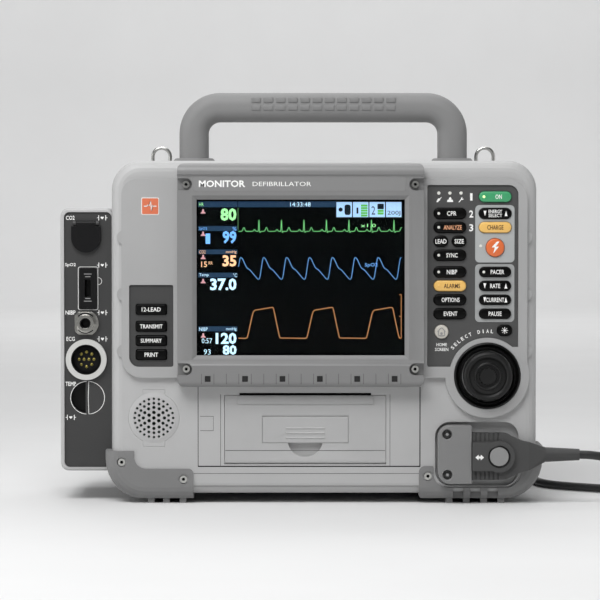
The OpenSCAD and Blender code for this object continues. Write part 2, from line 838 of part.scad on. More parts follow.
// ================= printer =================

module printer_housing() {
    inner_b = hinge_z - hinge_r - gap;
    inner_t = printer_t - 4.4;
    in_l = door_l - gap;
    in_r = door_r + gap;
    color([0.63, 0.63, 0.63]) difference() {
        union() {
            plate(case_f, case_f + fascia_t) round_rect(printer_l, printer_r, printer_b, printer_t, 1);
            block([in_l - bay_wall, case_f + fascia_t - eps, printer_b + 0.3 + seat],
                  [in_r + bay_wall, bay_back + 2, printer_t - 2.4 - seat]);
        }
        // the way in for the door, and the bay behind it
        block([in_l, case_f - 1, inner_b], [in_r, case_f + door_t + gap, door_top + gap]);
        block([in_l, case_f + door_t, inner_b], [in_r, bay_back, inner_t]);
        // the paper slot
        block([door_mid - slot_w / 2, case_f - 1, door_top - 1],
              [door_mid + slot_w / 2, case_f + door_t + 1, door_top + slot_h]);
        rod_x(hinge_y, hinge_z, hinge_pin_r + pin_fit, in_l - pin_l - 0.3, in_r + pin_l + 0.3);
        rod_x(roller_y, roller_z, roller_pin_r + pin_fit, in_l - pin_l - 0.3, in_r + pin_l + 0.3);
    }
    // stub axles that the paper roll turns on
    color([0.63, 0.63, 0.63]) {
        rod_x(roll_y, roll_z, roll_core_r - pin_fit, in_l - 1, door_mid - roll_w / 2 + 5);
        rod_x(roll_y, roll_z, roll_core_r - pin_fit, door_mid + roll_w / 2 - 5, in_r + 1);
    }
}

module printer_door() {
    side_gap = gap;
    color([0.64, 0.64, 0.64]) {
        difference() {
            beam(door_l, door_r) union() {
                translate([hinge_y, hinge_z]) circle(hinge_r);
                polygon([[case_f, hinge_z], [case_f + door_t, hinge_z],
                         [case_f + door_t, door_top - 1.5], [case_f + door_t - 1.5, door_top],
                         [case_f, door_top]]);
            }
            // the latch's recess and the bores of its pins
            block([door_mid - latch_w / 2 - side_gap, case_f - 1, latch_b - gap],
                  [door_mid + latch_w / 2 + side_gap, case_f + latch_t + gap, latch_b + latch_h + gap]);
            rod_x(latch_y, latch_z, latch_pin_r + pin_fit,
                door_mid - latch_w / 2 - 3, door_mid + latch_w / 2 + 3);
            // the finger scoop below the latch
            intersection() {
                rod_y(door_mid, latch_b - scoop_h + scoop_r, scoop_r, case_f - 1, case_f + scoop_d);
                block([door_mid - scoop_r, case_f - 2, latch_b - scoop_h - 1],
                      [door_mid + scoop_r, case_f + door_t, latch_b]);
            }
        }
        rod_x(hinge_y, hinge_z, hinge_pin_r, door_l - gap - pin_l, door_l + 1);
        rod_x(hinge_y, hinge_z, hinge_pin_r, door_r - 1, door_r + gap + pin_l);
        // the tear bar along the top
        block([door_mid - tear_bar_w / 2, case_f - 0.8, door_top - tear_bar_h],
              [door_mid + tear_bar_w / 2, case_f + 1, door_top]);
    }
}

module door_latch() {
    color([0.62, 0.62, 0.62]) {
        beam(door_mid - latch_w / 2, door_mid + latch_w / 2) union() {
            translate([latch_y, latch_z]) circle(latch_t / 2);
            translate([case_f, latch_b]) square([latch_t, latch_z - latch_b]);
        }
        rod_x(latch_y, latch_z, latch_pin_r, door_mid - latch_w / 2 - 2.7, door_mid + latch_w / 2 + 2.7);
        for (i = [0:2]) rod_x(case_f + 0.2, latch_b + 4 + 4 * i, 0.8, door_mid - 16, door_mid + 16);
    }
}

module platen_roller() {
    color([0.2, 0.2, 0.2]) {
        rod_x(roller_y, roller_z, roller_r, door_mid - roller_w / 2, door_mid + roller_w / 2);
        rod_x(roller_y, roller_z, roller_pin_r, door_l - gap - pin_l, door_r + gap + pin_l);
    }
}

module paper_roll() {
    color([0.94, 0.92, 0.9]) difference() {
        rod_x(roll_y, roll_z, roll_d / 2, door_mid - roll_w / 2, door_mid + roll_w / 2);
        rod_x(roll_y, roll_z, roll_core_r, door_mid - roll_w, door_mid + roll_w);
    }
}

// ================= handle, rings and bumpers =================

module handle() {
    half = handle_span / 2;
    mid_z = handle_top - handle_t / 2;
    bend = handle_bend;
    path = concat(
        [[case_mid - half, handle_y, case_t + 1], [case_mid - half, handle_y, case_t + 8]],
        [for (p = arc(case_mid - half + bend, mid_z - bend, bend, 180, 90, 8)) [p[0], handle_y, p[1]]],
        [for (p = arc(case_mid + half - bend, mid_z - bend, bend, 90, 0, 8)) [p[0], handle_y, p[1]]],
        [[case_mid + half, handle_y, case_t + 8], [case_mid + half, handle_y, case_t + 1]]);
    u = handle_t / 2;
    v = handle_depth / 2;
    r = 8;
    section = concat(arc(u - r, v - r, r, 0, 90, 5), arc(r - u, v - r, r, 90, 180, 5),
                     arc(r - u, r - v, r, 180, 270, 5), arc(u - r, r - v, r, 270, 360, 5));
    color([0.45, 0.45, 0.45]) {
        bar_along(path, section, [0, 1, 0]);
        for (s = [-1, 1]) translate([case_mid + s * half, handle_y, case_t])
            cylinder(r1 = flange_r, r2 = flange_r - 3, h = flange_t);
        // grip pads, two rows along the front
        for (i = [0:grip_cols - 1], row_z = [mid_z + 6.2, mid_z - 0.4])
            let (x = case_mid + (i - (grip_cols - 1) / 2) * grip_pitch)
            block([x - 4.2, handle_y - v - 0.6, row_z - 2.4], [x + 4.2, handle_y - v + 6, row_z + 2.4]);
    }
}

module strap_rings() {
    arc_r = ring_in_r + ring_wire_r;
    color([0.7, 0.7, 0.7]) for (s = [-1, 1])
        translate([case_mid + s * ring_span / 2, handle_y, case_t]) {
            for (x = [-arc_r, arc_r]) translate([x, 0, 0]) cylinder(r = ring_wire_r, h = ring_leg);
            translate([0, 0, ring_leg]) rotate([90, 0, 0])
                rotate_extrude(angle = 180) translate([arc_r, 0]) circle(ring_wire_r, $fn = 24);
        }
}

// Front view of the left bumper.
module left_bumper_outline() {
    difference() {
        round_rect(bump_l - 1, left_arm_end, bump_b, left_lobe_top, [bottom_r, 0, 0, 2]);
        round_rect(left_lobe_r, left_arm_end + 1, left_arm_top, left_lobe_top + 1, [10, 0, 0, 0]);
        translate([left_arm_end, left_arm_top]) corner_waste(4, -1, -1);
    }
}

// Front view of the right bumper, round the lower half of the connector pocket.
module right_bumper_outline() {
    difference() {
        round_rect(right_arm_l, bump_r + 1, bump_b, right_lobe_top, [3, bottom_r, 2, 0]);
        pocket_outline(1.6);
        translate([right_arm_l - 1, right_arm_top])
            square([pocket_r - right_arm_l, right_lobe_top - right_arm_top + 1]);
        translate([right_arm_l, right_arm_top]) corner_waste(5, 1, -1);
    }
}

// One rib that the unit stands on.
module foot(x, y) {
    block([x - foot_w / 2, y, 0], [x + foot_w / 2, y + bumper_d - 12, bump_b + 1.5]);
}

// Rubber corner guards with feet: a shell round each lower corner.
module bumpers() {
    feet_left = [case_l + 32.3, case_l + 44.9, case_l + 58.6];
    feet_right = [for (i = [0:3]) pocket_l + 12 + i * 14.3];
    color([0.47, 0.47, 0.47]) difference() {
        union() {
            intersection() {
                case_body(bumper_proud, case_f - bumper_front, case_f + bumper_d, face_r + 2, 4);
                union() {
                    plate(case_f - 20, case_f + bumper_d + 1) left_bumper_outline();
                    plate(case_f - 20, case_f + bumper_d + 1) right_bumper_outline();
                }
            }
            intersection() {
                case_body(bumper_proud, case_k - bumper_d, case_k + bumper_front, 4, face_r + 2);
                plate(case_k - bumper_d - 1, case_k + 20) for (side = [0, 1])
                    translate([side * 2 * case_mid, 0]) mirror([side, 0]) left_bumper_outline();
            }
            for (x = concat(feet_left, feet_right)) foot(x, case_f + 5);
            for (x = feet_left) {
                foot(x, case_k - bumper_d + 6);
                foot(2 * case_mid - x, case_k - bumper_d + 6);
            }
        }
        case_body(seat, case_f, case_k, face_r, face_r);
        block([port_l - 1, port_f - seat, port_b - seat], [case_l + 1, port_k + seat, port_t]);
        for (p = bump_screws) rod_y(p[0], p[1], bump_screw_r + 1, case_f - 10, case_f + 1);
        // windows between the feet below the connector
        for (i = [0:2]) let (x = pocket_l + 14.9 + i * 14.3)
            block([x, case_f - 10, -1], [x + 8.8, case_f + 4, bump_b + 8.6]);
    }
}

// A screw head with a hexagon socket, facing forwards.
module screw_head(x, z, r, y0, y1) {
    difference() {
        rod_y(x, z, r, y0, y1);
        translate([x, y0 - 1, z]) rotate([-90, 0, 0]) cylinder(r = r * 0.5, h = 2.4, $fn = 6);
    }
}

module case_screws() {
    color([0.75, 0.75, 0.75]) {
        for (p = frame_screws) {
            screw_head(p[0], p[1], screw_head_r, front_y + 4.6, front_y + 7);
            rod_y(p[0], p[1], 1.5, front_y + 6.9, case_f);
        }
        for (p = bump_screws)
            screw_head(p[0], p[1], bump_screw_r, case_f - bumper_front - 0.2, case_f);
        for (p = recept_screws)
            screw_head(p[0], p[1], bump_screw_r, recept_f + 1, recept_f + 3.4);
    }
}

// ================= port module =================

module port_case() {
    color([0.64, 0.64, 0.64]) difference() {
        slab(port_l, case_l, port_b, port_t, 6.5, 6.5, port_f, port_k, 2, 5);
        plate(port_f - 1, port_face + port_panel_t) port_panel_outline(seat);
        plate(port_face, port_k - 3) port_panel_outline(-1.6);
    }
}

module port_panel_outline(g) {
    round_rect(port_l + port_rim - g, case_l - 1.4 + g, port_b + port_rim - g, port_t - port_rim + g, 4.6);
}

// The dark face of the port module, with the gas inlet, the probe bay and the door's lugs.
module port_panel() {
    color([0.25, 0.25, 0.25]) difference() {
        union() {
            plate(port_face, port_face + port_panel_t) port_panel_outline(0);
            for (s = [-1, 1]) let (x = port_x + s * (co2_bar_w / 2 + gap + 1.2))
                beam(x - 1.2, x + 1.2) {
                    translate([co2_y, co2_axis_z]) circle(co2_bar_r);
                    translate([co2_y, co2_axis_z - co2_bar_r])
                        square([port_face - co2_y + 1, 2 * co2_bar_r]);
                }
            // cups behind the face
            rod_y(port_x, co2_z - 1, 9, port_face + 1, port_face + 10);
            rod_y(port_x, temp_z, temp_r + 2, port_face + 1, port_face + 12);
        }
        rod_y(port_x, co2_z - 1, 6.5, port_face - 1, port_face + 8);
        intersection() {
            rod_y(port_x, temp_z, temp_r, port_face - 1, port_face + 10);
            block([port_x - temp_r - 1, port_face - 2, temp_z - temp_r - 1],
                  [port_x - 0.8, port_face + 11, temp_z + temp_r + 1]);
        }
        rod_x(co2_y, co2_axis_z, 0.8 + pin_fit, port_x - co2_bar_w / 2 - 4, port_x + co2_bar_w / 2 + 4);
        rod_y(port_x, ecg_z, socket_r - 2 + seat, port_face - 1, port_face + port_panel_t + 1);
        rod_y(port_x - 0.5, nibp_z, 8 + seat, port_face - 1, port_face + port_panel_t + 1);
        block([port_x + 1.5 - 5.2, port_face - 1, spo2_z - 15.2],
              [port_x + 1.5 + 5.2, port_face + port_panel_t + 1, spo2_z + 15.2]);
    }
}

module spo2_port() {
    x = port_x + 1.5;
    color([0.2, 0.2, 0.2]) difference() {
        union() {
            plate(port_face - 3, port_face) round_rect(x - 7.2, x + 7.2, spo2_z - 17.2, spo2_z + 17.2, 2);
            block([x - 5, port_face - eps, spo2_z - 15], [x + 5, port_face + 8, spo2_z + 15]);
        }
        block([x - 2.4, port_face - 4, spo2_z - 7.3], [x + 2.4, port_face + 6, spo2_z + 7.3]);
    }
}

module nibp_port() {
    x = port_x - 0.5;
    color([0.7, 0.7, 0.7]) difference() {
        union() {
            intersection() {
                rod_y(x, nibp_z, 11, port_face - 3, port_face);
                block([x - 9, port_face - 4, nibp_z - 9.4], [x + 12, port_face + 1, nibp_z + 9.4]);
            }
            rod_y(x, nibp_z, hose_r + 2.6, port_face - 6, port_face);
            rod_y(x, nibp_z, 8, port_face - eps, port_face + 8);
        }
        rod_y(x, nibp_z, hose_r, port_face - 7, port_face - 6 + hose_depth);
    }
}

module ecg_port() {
    color([0.45, 0.45, 0.4]) {
        difference() {
            union() {
                rod_y(port_x, ecg_z, ecg_r + ecg_wall, port_face - 4, port_face);
                rod_y(port_x, ecg_z, socket_r - 2, port_face - eps, port_face + 12);
            }
            rod_y(port_x, ecg_z, ecg_r, port_face - 5, port_face - 4 + ecg_depth);
        }
        // contact pins on the socket's floor
        for (i = [0:9]) let (a = i < 8 ? i * 45 : 0, r = i < 8 ? 6.2 : (i - 8.5) * 4)
            rod_y(port_x + r * cos(a), ecg_z + r * sin(a), 0.9,
                port_face - 4 + ecg_depth - 7, port_face - 4 + ecg_depth + 0.5, $fn = 16);
    }
}

// A flap over the gas inlet, round at the bottom and hinged at the top.
module co2_door() {
    top = co2_axis_z - 2.6;
    r = co2_w / 2;
    color([0.16, 0.16, 0.16]) {
        plate(port_face - 3, port_face - 0.4) intersection() {
            union() {
                translate([port_x, co2_z - co2_h / 2 + r]) circle(r);
                translate([port_x - r, co2_z - co2_h / 2 + r]) square([2 * r, co2_h]);
            }
            translate([port_x - r, co2_z - co2_h / 2]) square([2 * r, top - co2_z + co2_h / 2]);
        }
        beam(port_x - co2_bar_w / 2, port_x + co2_bar_w / 2) {
            translate([co2_y, co2_axis_z]) circle(co2_bar_r);
            translate([port_face - 3, top - 1]) square([1.6, co2_axis_z - top + 1]);
        }
        rod_x(co2_y, co2_axis_z, 0.8, port_x - co2_bar_w / 2 - 2.6, port_x + co2_bar_w / 2 + 2.6);
    }
}

// ================= therapy connector =================

module therapy_receptacle() {
    color([0.6, 0.6, 0.6]) difference() {
        plate(recept_f, pocket_y)
            round_rect(recept_l, recept_r, pocket_b + 2.4, pocket_t - 2.4, [10, 0, 0, 10]);
        block([plug_l - blade_l - 1.5, plug_mid_y - blade_half_t - gap, plug_z - blade_half_h - gap],
              [recept_r + 1, plug_mid_y + blade_half_t + gap, plug_z + blade_half_h + gap]);
        for (p = recept_screws) rod_y(p[0], p[1], bump_screw_r + 0.9, recept_f - 1, recept_f + 3.4);
    }
}

// Front view of the plug: straight sides, then shoulders that run into the neck.
function plug_side(s) = concat(
    [[plug_l, s * plug_half], [plug_l + 20, s * plug_half]],
    arc(plug_l + 24, s * (plug_half - 14), 14, s * 75, s * 52, 4),
    [[neck_x - 5, s * (neck_half + 1.2)], [neck_x, s * neck_half]]);

module therapy_plug() {
    lower = plug_side(-1);
    upper = plug_side(1);
    color([0.3, 0.3, 0.3]) difference() {
        union() {
            plate(plug_f + plug_step, plug_k) translate([0, plug_z])
                polygon(concat(lower, [for (i = [len(upper) - 1:-1:0]) upper[i]]));
            // the raised middle, round about the release button
            plate(plug_f, plug_f + plug_step + 1) {
                translate([release_x, plug_z]) circle(13);
                translate([plug_l, plug_z - 11.8]) square([release_x - plug_l, 23.6]);
            }
            // the foot that slides in the pocket, and the contact blade
            block([plug_l, plug_k - eps, plug_z - plug_half + 1],
                  [plug_foot_r, pocket_y - 0.5, plug_z + plug_half - 1]);
            block([plug_l - blade_l, plug_mid_y - blade_half_t, plug_z - blade_half_h],
                  [plug_l + 1, plug_mid_y + blade_half_t, plug_z + blade_half_h]);
        }
        rod_y(release_x, plug_z, release_r + gap, plug_f - 1, plug_f + release_h + release_travel + 0.5);
        // finger grooves above and below
        for (i = [0:5], s = [-1, 1]) let (x = plug_l + 2.6 + 3.6 * i)
            block([x, plug_f + plug_step - 1, plug_z + s * 15.9 - 3.4],
                  [x + 1.4, plug_f + plug_step + 0.8, plug_z + s * 15.9 + 3.4]);
    }
}

module plug_release() {
    color([0.55, 0.55, 0.55])
        rod_y(release_x, plug_z, release_r, plug_f - 0.6, plug_f + release_h);
}

// The tapered boot: flat where it leaves the plug and round where the cable leaves it.
module strain_relief() {
    color([0.23, 0.23, 0.23]) {
        hull() {
            block([neck_x, plug_f + plug_step, plug_z - neck_half],
                  [neck_x + 0.5, plug_k, plug_z + neck_half]);
            translate([neck_x + boot_blend - 0.5, plug_mid_y, plug_z + 1.2]) rotate([0, 90, 0])
                cylinder(r = boot_r0, h = 0.5, $fn = 24);
        }
        translate([neck_x + boot_blend - eps, plug_mid_y, plug_z + 1.2]) rotate([0, 90, 0])
            cylinder(r1 = boot_r0, r2 = boot_r1, h = boot_l - boot_blend + eps);
    }
}

// The cable where it lies loose, from the boot to the coil.
module cord_tube() {
    color([0.13, 0.13, 0.13])
        bar_along(route, [for (i = [0:9]) cord_r * [cos(36 * i), sin(36 * i)]], [0, 0, 1]);
}

// The rest of the cable, wound into a coil.
module cord_coil() {
    r = coil_round;
    color([0.13, 0.13, 0.13]) translate([coil_x, coil_y, 0.2]) rotate_extrude()
        polygon(concat(arc(coil_out_r - r, r, r, -90, 0, 4), arc(coil_out_r - r, coil_h - r, r, 0, 90, 4),
                       arc(coil_in_r + r, coil_h - r, r, 90, 180, 4), arc(coil_in_r + r, r, r, 180, 270, 4)));
}

// The pads connector on the cable's far end: a flat body with a socket, a
// tapered neck, and a boot that reaches the coil's last turn.
module pads_connector() {
    x2 = far_end - far_stub_l;
    x1 = x2 - far_boot_l;
    x0 = x1 - far_body_l;
    color([0.5, 0.5, 0.5]) difference() {
        union() {
            hull() {
                block([x0, far_y - far_w / 2, 0.2], [x1 - 8, far_y + far_w / 2, far_t]);
                block([x1 - 1, far_y - 7, 0.8], [x1, far_y + 7, 13]);
            }
            for (i = [0:2])
                rod_x(far_y, far_z, cord_r + 1.4 - 0.3 * i, x1 - 1, x1 + far_boot_l * (i + 1) / 3);
            rod_x(far_y, far_z, cord_r + 0.4, x2 - 1, far_end + 0.6);
        }
        block([x0 - 1, far_y - far_w / 2 + far_wall, 0.2 + far_wall],
              [x0 + far_socket, far_y + far_w / 2 - far_wall, far_t - far_wall]);
    }
}

// ================= batteries, rear and inside =================

module battery_outline(side, g) {
    x = batt_mid(side);
    round_rect(x - battery_w / 2 - g, x + battery_w / 2 + g, batt_b - g, batt_t + g, batt_corner);
}

// A battery pack with finger grooves across its back.
module battery(side) {
    color([0.3, 0.3, 0.31]) difference() {
        plate(case_k - battery_in, case_k + battery_proud) battery_outline(side, 0);
        for (z = [batt_t - 14, batt_t - 22, batt_t - 30])
            block([batt_mid(side) - battery_w / 2 + 12, case_k + battery_proud - 1.6, z],
                  [batt_mid(side) + battery_w / 2 - 12, case_k + battery_proud + 1, z + 3.5]);
    }
}

module rear_connectors() {
    color([0.35, 0.35, 0.36]) for (x = [aux_x, sys_x]) {
        difference() {
            union() {
                rod_y(x, rear_port_z, rear_port_r, case_k - 12, case_k + 2);
                rod_y(x, rear_port_z, rear_port_r + 3, case_k, case_k + 3);
            }
            rod_y(x, rear_port_z, rear_port_r - 2.5, case_k - 9, case_k + 4);
        }
        for (i = [0:5]) rod_y(x + 3.6 * cos(60 * i), rear_port_z + 3.6 * sin(60 * i), 0.8,
            case_k - 9.5, case_k - 3, $fn = 16);
    }
}

// The chassis plate across the rear case, with the storage capacitor, the power supply,
// the charger, the processor board and the speaker magnet's bracket fixed to it.
module internal_modules() {
    y1 = well_y - wall - 1;
    y0 = y1 - 3;
    color([0.35, 0.5, 0.4]) {
        plate(y0, y1) inner_outline(seat);
        rod_y(case_mid + 100, case_b + 70, 24, y0 - 58, y0 + 1);
        block([case_mid - 120, y0 - 34, case_b + 22], [case_mid - 30, y0 + 1, case_b + 82]);
        block([case_mid - 10, y0 - 26, case_b + 22], [case_mid + 56, y0 + 1, case_b + 62]);
        block([case_mid - 140, y0 - 14, case_b + 110], [case_mid + 60, y0 + 1, case_t - 30]);
        block([case_mid + 76, y0 - 40, case_b + 120], [case_mid + 140, y0 + 1, case_b + 210]);
    }
}

// ================= the assembly =================

front_case();
rear_case();
front_bezel();
display_frame();
display_window();
lcd_panel();
control_panel();
side_panel();
handle();
strap_rings();
bumpers();
case_screws();
port_case();
port_panel();
spo2_port();
nibp_port();
ecg_port();
speaker_grille();
printer_housing();
therapy_receptacle();
internal_modules();
rear_connectors();
co2_door();
printer_door();
door_latch();
platen_roller();
paper_roll();
dial_spindle();
dial_knob();
therapy_plug();
plug_release();
strain_relief();
cord_tube();
cord_coil();
pads_connector();
battery(-1);  // battery_left
battery(1);  // battery_right
for (name = KEYS)
    key(name, key_shade(name));
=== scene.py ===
# %% [markdown]
# This file dresses a portable monitor and defibrillator and puts it on a studio
# set. The rigid parts come from a CAD model that is already the right size, so
# the work here is what the eye judges: rounded edges, surface finishes, the
# picture on the display, the legends on the keys, and the cable. Each step
# starts with a short note like this one, and each code cell stays small.

# %% Load the frame and its parts
import json
import math
import bpy
import bmesh
import numpy as np
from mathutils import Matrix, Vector


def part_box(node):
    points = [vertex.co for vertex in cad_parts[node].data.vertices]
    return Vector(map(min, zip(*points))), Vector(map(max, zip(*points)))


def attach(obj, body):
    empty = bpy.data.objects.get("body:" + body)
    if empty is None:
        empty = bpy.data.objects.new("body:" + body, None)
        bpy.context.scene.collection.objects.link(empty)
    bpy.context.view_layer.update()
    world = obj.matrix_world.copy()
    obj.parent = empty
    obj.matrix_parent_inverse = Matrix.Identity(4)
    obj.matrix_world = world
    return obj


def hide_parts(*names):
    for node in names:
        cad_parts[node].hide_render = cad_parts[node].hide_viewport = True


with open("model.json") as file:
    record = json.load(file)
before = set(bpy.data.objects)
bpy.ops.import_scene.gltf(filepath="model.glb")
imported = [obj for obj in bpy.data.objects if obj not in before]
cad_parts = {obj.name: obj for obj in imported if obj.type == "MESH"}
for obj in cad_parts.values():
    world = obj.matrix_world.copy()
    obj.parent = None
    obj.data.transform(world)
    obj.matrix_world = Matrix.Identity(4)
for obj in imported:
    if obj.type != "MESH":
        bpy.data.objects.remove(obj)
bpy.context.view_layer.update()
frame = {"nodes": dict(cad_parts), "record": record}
nodes = frame["nodes"]
MM = 0.001


def box_mm(node):
    """The lowest and highest corner of a CAD node, as two arrays in mm."""
    low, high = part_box(node)
    return np.array(low) / MM, np.array(high) / MM


# %% [markdown]
# A product picture is taken from far back with a long lens, so that the front of
# the unit stays square and the sides hardly show. The camera stands a little
# over two metres away, just below the top of the case, and looks very slightly
# down. The lens length follows from the width that the frame has to cover.

# %% Camera
camera_data = bpy.data.cameras.new("studio_camera")
camera = bpy.data.objects.new("studio_camera", camera_data)
bpy.context.scene.collection.objects.link(camera)
bpy.context.scene.camera = camera
FRONT_Y = -115.5
CAMERA_AT = (-0.8, FRONT_Y - 2200.0, 240.0)
CAMERA_AIM = (-0.8, FRONT_Y, 168.9)
FRAME_WIDTH, SENSOR = 492.0, 36.0
reach = math.dist(CAMERA_AT, CAMERA_AIM)
camera_data.sensor_width = SENSOR
camera_data.lens = SENSOR * reach / FRAME_WIDTH
camera_data.clip_end = 30.0
camera.location = Vector(CAMERA_AT) * MM
camera.rotation_euler = (Vector(CAMERA_AIM) - Vector(CAMERA_AT)).to_track_quat("-Z", "Y").to_euler()
bpy.context.scene.view_settings.view_transform = "Standard"
print("lens", round(camera_data.lens, 1), "mm")

# %% [markdown]
# Colours are chosen as the hex values that a screen shows, but a renderer adds
# light in linear numbers. One function turns the first into the second. A
# second one adds a shader node, sets its values and makes its links, which
# keeps every material below down to a few readable lines.

# %% Colour and node helpers
def linear(hex_colour, lift=1.0):
    """A screen colour as linear RGBA: each channel is c/12.92 below 0.04045,
    and ((c + 0.055) / 1.055) to the power 2.4 above it, times lift."""
    c = np.array([int(hex_colour[i:i + 2], 16) for i in (1, 3, 5)]) / 255
    c = np.where(c <= 0.04045, c / 12.92, ((c + 0.055) / 1.055) ** 2.4) * lift
    return (*[float(min(v, 1.0)) for v in c], 1.0)


def add_node(tree, kind, settings=None, links=None):
    """Adds a node, sets its sockets or properties by name, and links others in."""
    made = tree.nodes.new(kind)
    for key, value in (settings or {}).items():
        if isinstance(key, int) or key in made.inputs:
            made.inputs[key].default_value = value
        else:
            setattr(made, key, value)
    for key, source in (links or {}).items():
        tree.links.new(source, made.inputs[key])
    return made


def new_material(name):
    """An empty node material, with its tree and its output."""
    material = bpy.data.materials.new(name)
    material.use_nodes = True
    tree = material.node_tree
    tree.nodes.clear()
    return material, tree, add_node(tree, "ShaderNodeOutputMaterial")


# %% [markdown]
# The therapy cable leaves its boot at the right, drops to the ground and runs
# round to the back, where the length that isn't needed lies in a flat coil of
# two layers: the first winds inwards, the second winds outwards on top of it,
# and the last turn runs off into the pads connector. A cable keeps its length,
# so the line is worked out first, as points a few millimetres apart, and the
# tube is simply swept along it. The loose part follows chosen points through
# Catmull-Rom curves, and the coil is two spirals joined by a short ramp.

# %% The therapy cable
def through_points(points, steps=9):
    """A smooth line through the points: on each span the Catmull-Rom cubic of
    its two ends and their neighbours, at steps even parameters."""
    p = np.asarray(points, float)
    p = np.vstack([2 * p[0] - p[1], p, 2 * p[-1] - p[-2]])
    t = np.linspace(0, 1, steps, endpoint=False)[None, :, None]
    a, b, c, d = (p[i:len(p) - 3 + i, None, :] for i in range(4))
    line = 0.5 * (2 * b + (c - a) * t + (2 * a - 5 * b + 4 * c - d) * t ** 2
                  + (3 * b - a - 3 * c + d) * t ** 3)
    return np.vstack([line.reshape(-1, 3), p[-2]])


CABLE_D = 7.2
LYING = 3.8
cable_start = [229.5, -107.35, 41.15]
loose = [cable_start, [239.5, -107.35, 40.65], [251.5, -106.55, 38.65], [263, -104, 34],
         [276, -98, 27.5], [286, -88, 20.5], [292, -74, 14], [292, -58, 9],
         [287, -43, 5.5], [277, -30, LYING], [264, -19, LYING], [249, -9, LYING],
         [234, 2, LYING], [221, 14, LYING], [212, 30, LYING], [208, 49, LYING],
         [207, 70, LYING], [207, 91, LYING], [204, 111, LYING], [199, 130, LYING],
         [193, 150, LYING], [187, 170, LYING], [184.5, 180, LYING], [182.6, 192.5, LYING]]
COIL_X, COIL_Y = 127.0, 191.0
TURN_PITCH = 7.3
OUTER_R, INNER_R, UPPER_Z = 54.2, 28.65, 11.1
ANGLE_IN, ANGLE_RAMP, ANGLE_UP, ANGLE_OUT = 15.0, 1275.0, 1315.0, 2610.0
angle = np.arange(ANGLE_IN, ANGLE_OUT + 0.1, 7.5)
inward = OUTER_R - TURN_PITCH * (angle - ANGLE_IN) / 360
outward = INNER_R + TURN_PITCH * (angle - ANGLE_UP) / 360
radius = np.where(angle < ANGLE_RAMP, inward, np.where(angle < ANGLE_UP, INNER_R, outward))
climb = np.clip((angle - ANGLE_RAMP) / (ANGLE_UP - ANGLE_RAMP), 0, 1)
height = LYING + (UPPER_Z - LYING) * climb ** 2 * (3 - 2 * climb)
turns = np.column_stack([COIL_X + radius * np.cos(np.radians(angle)),
                         COIL_Y + radius * np.sin(np.radians(angle)), height])
lead_out = [[118, 245.7, 10.6], [108, 245.4, 8.9], [99, 245.2, 6.9], [92, 245.2, 5.6],
            [86.5, 245.2, 5.2]]
cable_line = np.vstack([through_points(loose), through_points([loose[-1], turns[0]])[1:-1],
                        turns, through_points([turns[-1], *lead_out], 4)[1:]])
cable_length = float(np.linalg.norm(np.diff(cable_line, axis=0), axis=1).sum())

jacket, tree, output = new_material("cable_polyurethane_jacket")
place = add_node(tree, "ShaderNodeTexCoord").outputs["Object"]
rub = add_node(tree, "ShaderNodeTexNoise", {"Scale": 1 / (2.5 * MM), "Detail": 4.0}, {"Vector": place})
tone = add_node(tree, "ShaderNodeMix", {"data_type": "RGBA", 6: linear("#1D1D1E"), 7: linear("#2A2A2B")},
                {0: rub.outputs["Fac"]}).outputs[2]
gloss = add_node(tree, "ShaderNodeMapRange", {"To Min": 0.32, "To Max": 0.52},
                 {"Value": rub.outputs["Fac"]}).outputs["Result"]
bump = add_node(tree, "ShaderNodeBump", {"Strength": 0.4, "Distance": 0.04 * MM},
                {"Height": rub.outputs["Fac"]}).outputs["Normal"]
shader = add_node(tree, "ShaderNodeBsdfPrincipled", {"IOR": 1.5},
                  {"Base Color": tone, "Roughness": gloss, "Normal": bump})
tree.links.new(shader.outputs[0], output.inputs[0])

curve = bpy.data.curves.new("therapy_cable", "CURVE")
curve.dimensions = "3D"
curve.bevel_depth = CABLE_D / 2 * MM
curve.bevel_resolution = 3
curve.use_fill_caps = True
spline = curve.splines.new("POLY")
spline.points.add(len(cable_line) - 1)
spline.points.foreach_set("co", np.column_stack([cable_line * MM, np.ones(len(cable_line))]).ravel())
spline.use_smooth = True
cable = bpy.data.objects.new("therapy_cable", curve)
bpy.context.scene.collection.objects.link(cable)
curve.materials.append(jacket)
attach(cable, "therapy_plug")
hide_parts("cord_tube", "cord_coil")
print("cable length", round(cable_length), "mm in", len(cable_line), "points")

# %% [markdown]
# The set is a plain one: a pale floor that curves up into a pale wall, so that
# no horizon shows. The sweep is a profile of two straight lines and a quarter
# circle, turned round the middle, and it stands further off than any camera,
# so the unit can be looked at from every side. The lights are large and soft.
# The main one hangs above and in front, a weaker one fills from each side, two
# more light the far floor and the wall, and a low even sky keeps the shadows
# open.

# %% Floor sweep and lights
SWEEP_FLAT, SWEEP_R, SWEEP_TOP, SWEEP_COUNT = 4500.0, 600.0, 2600.0, 96
SWEEP_HUB = 600.0
bend = np.radians(np.linspace(-90, 0, 24))
profile_r = np.concatenate([[SWEEP_HUB], SWEEP_FLAT + SWEEP_R * np.cos(bend), [SWEEP_FLAT + SWEEP_R]])
profile_z = np.concatenate([[0.0], SWEEP_R + SWEEP_R * np.sin(bend), [SWEEP_TOP]])
around = np.linspace(0, 2 * np.pi, SWEEP_COUNT, endpoint=False)
sweep = np.stack([profile_r[:, None] * np.cos(around), profile_r[:, None] * np.sin(around),
                  np.repeat(profile_z[:, None], SWEEP_COUNT, 1)], -1).reshape(-1, 3)
step, low = np.arange(SWEEP_COUNT), np.arange(len(profile_r) - 1)[:, None] * SWEEP_COUNT
after = (step + 1) % SWEEP_COUNT
sweep_faces = np.stack([low + step, low + SWEEP_COUNT + step, low + SWEEP_COUNT + after, low + after],
                       -1).reshape(-1, 4).tolist() + [step.tolist()]
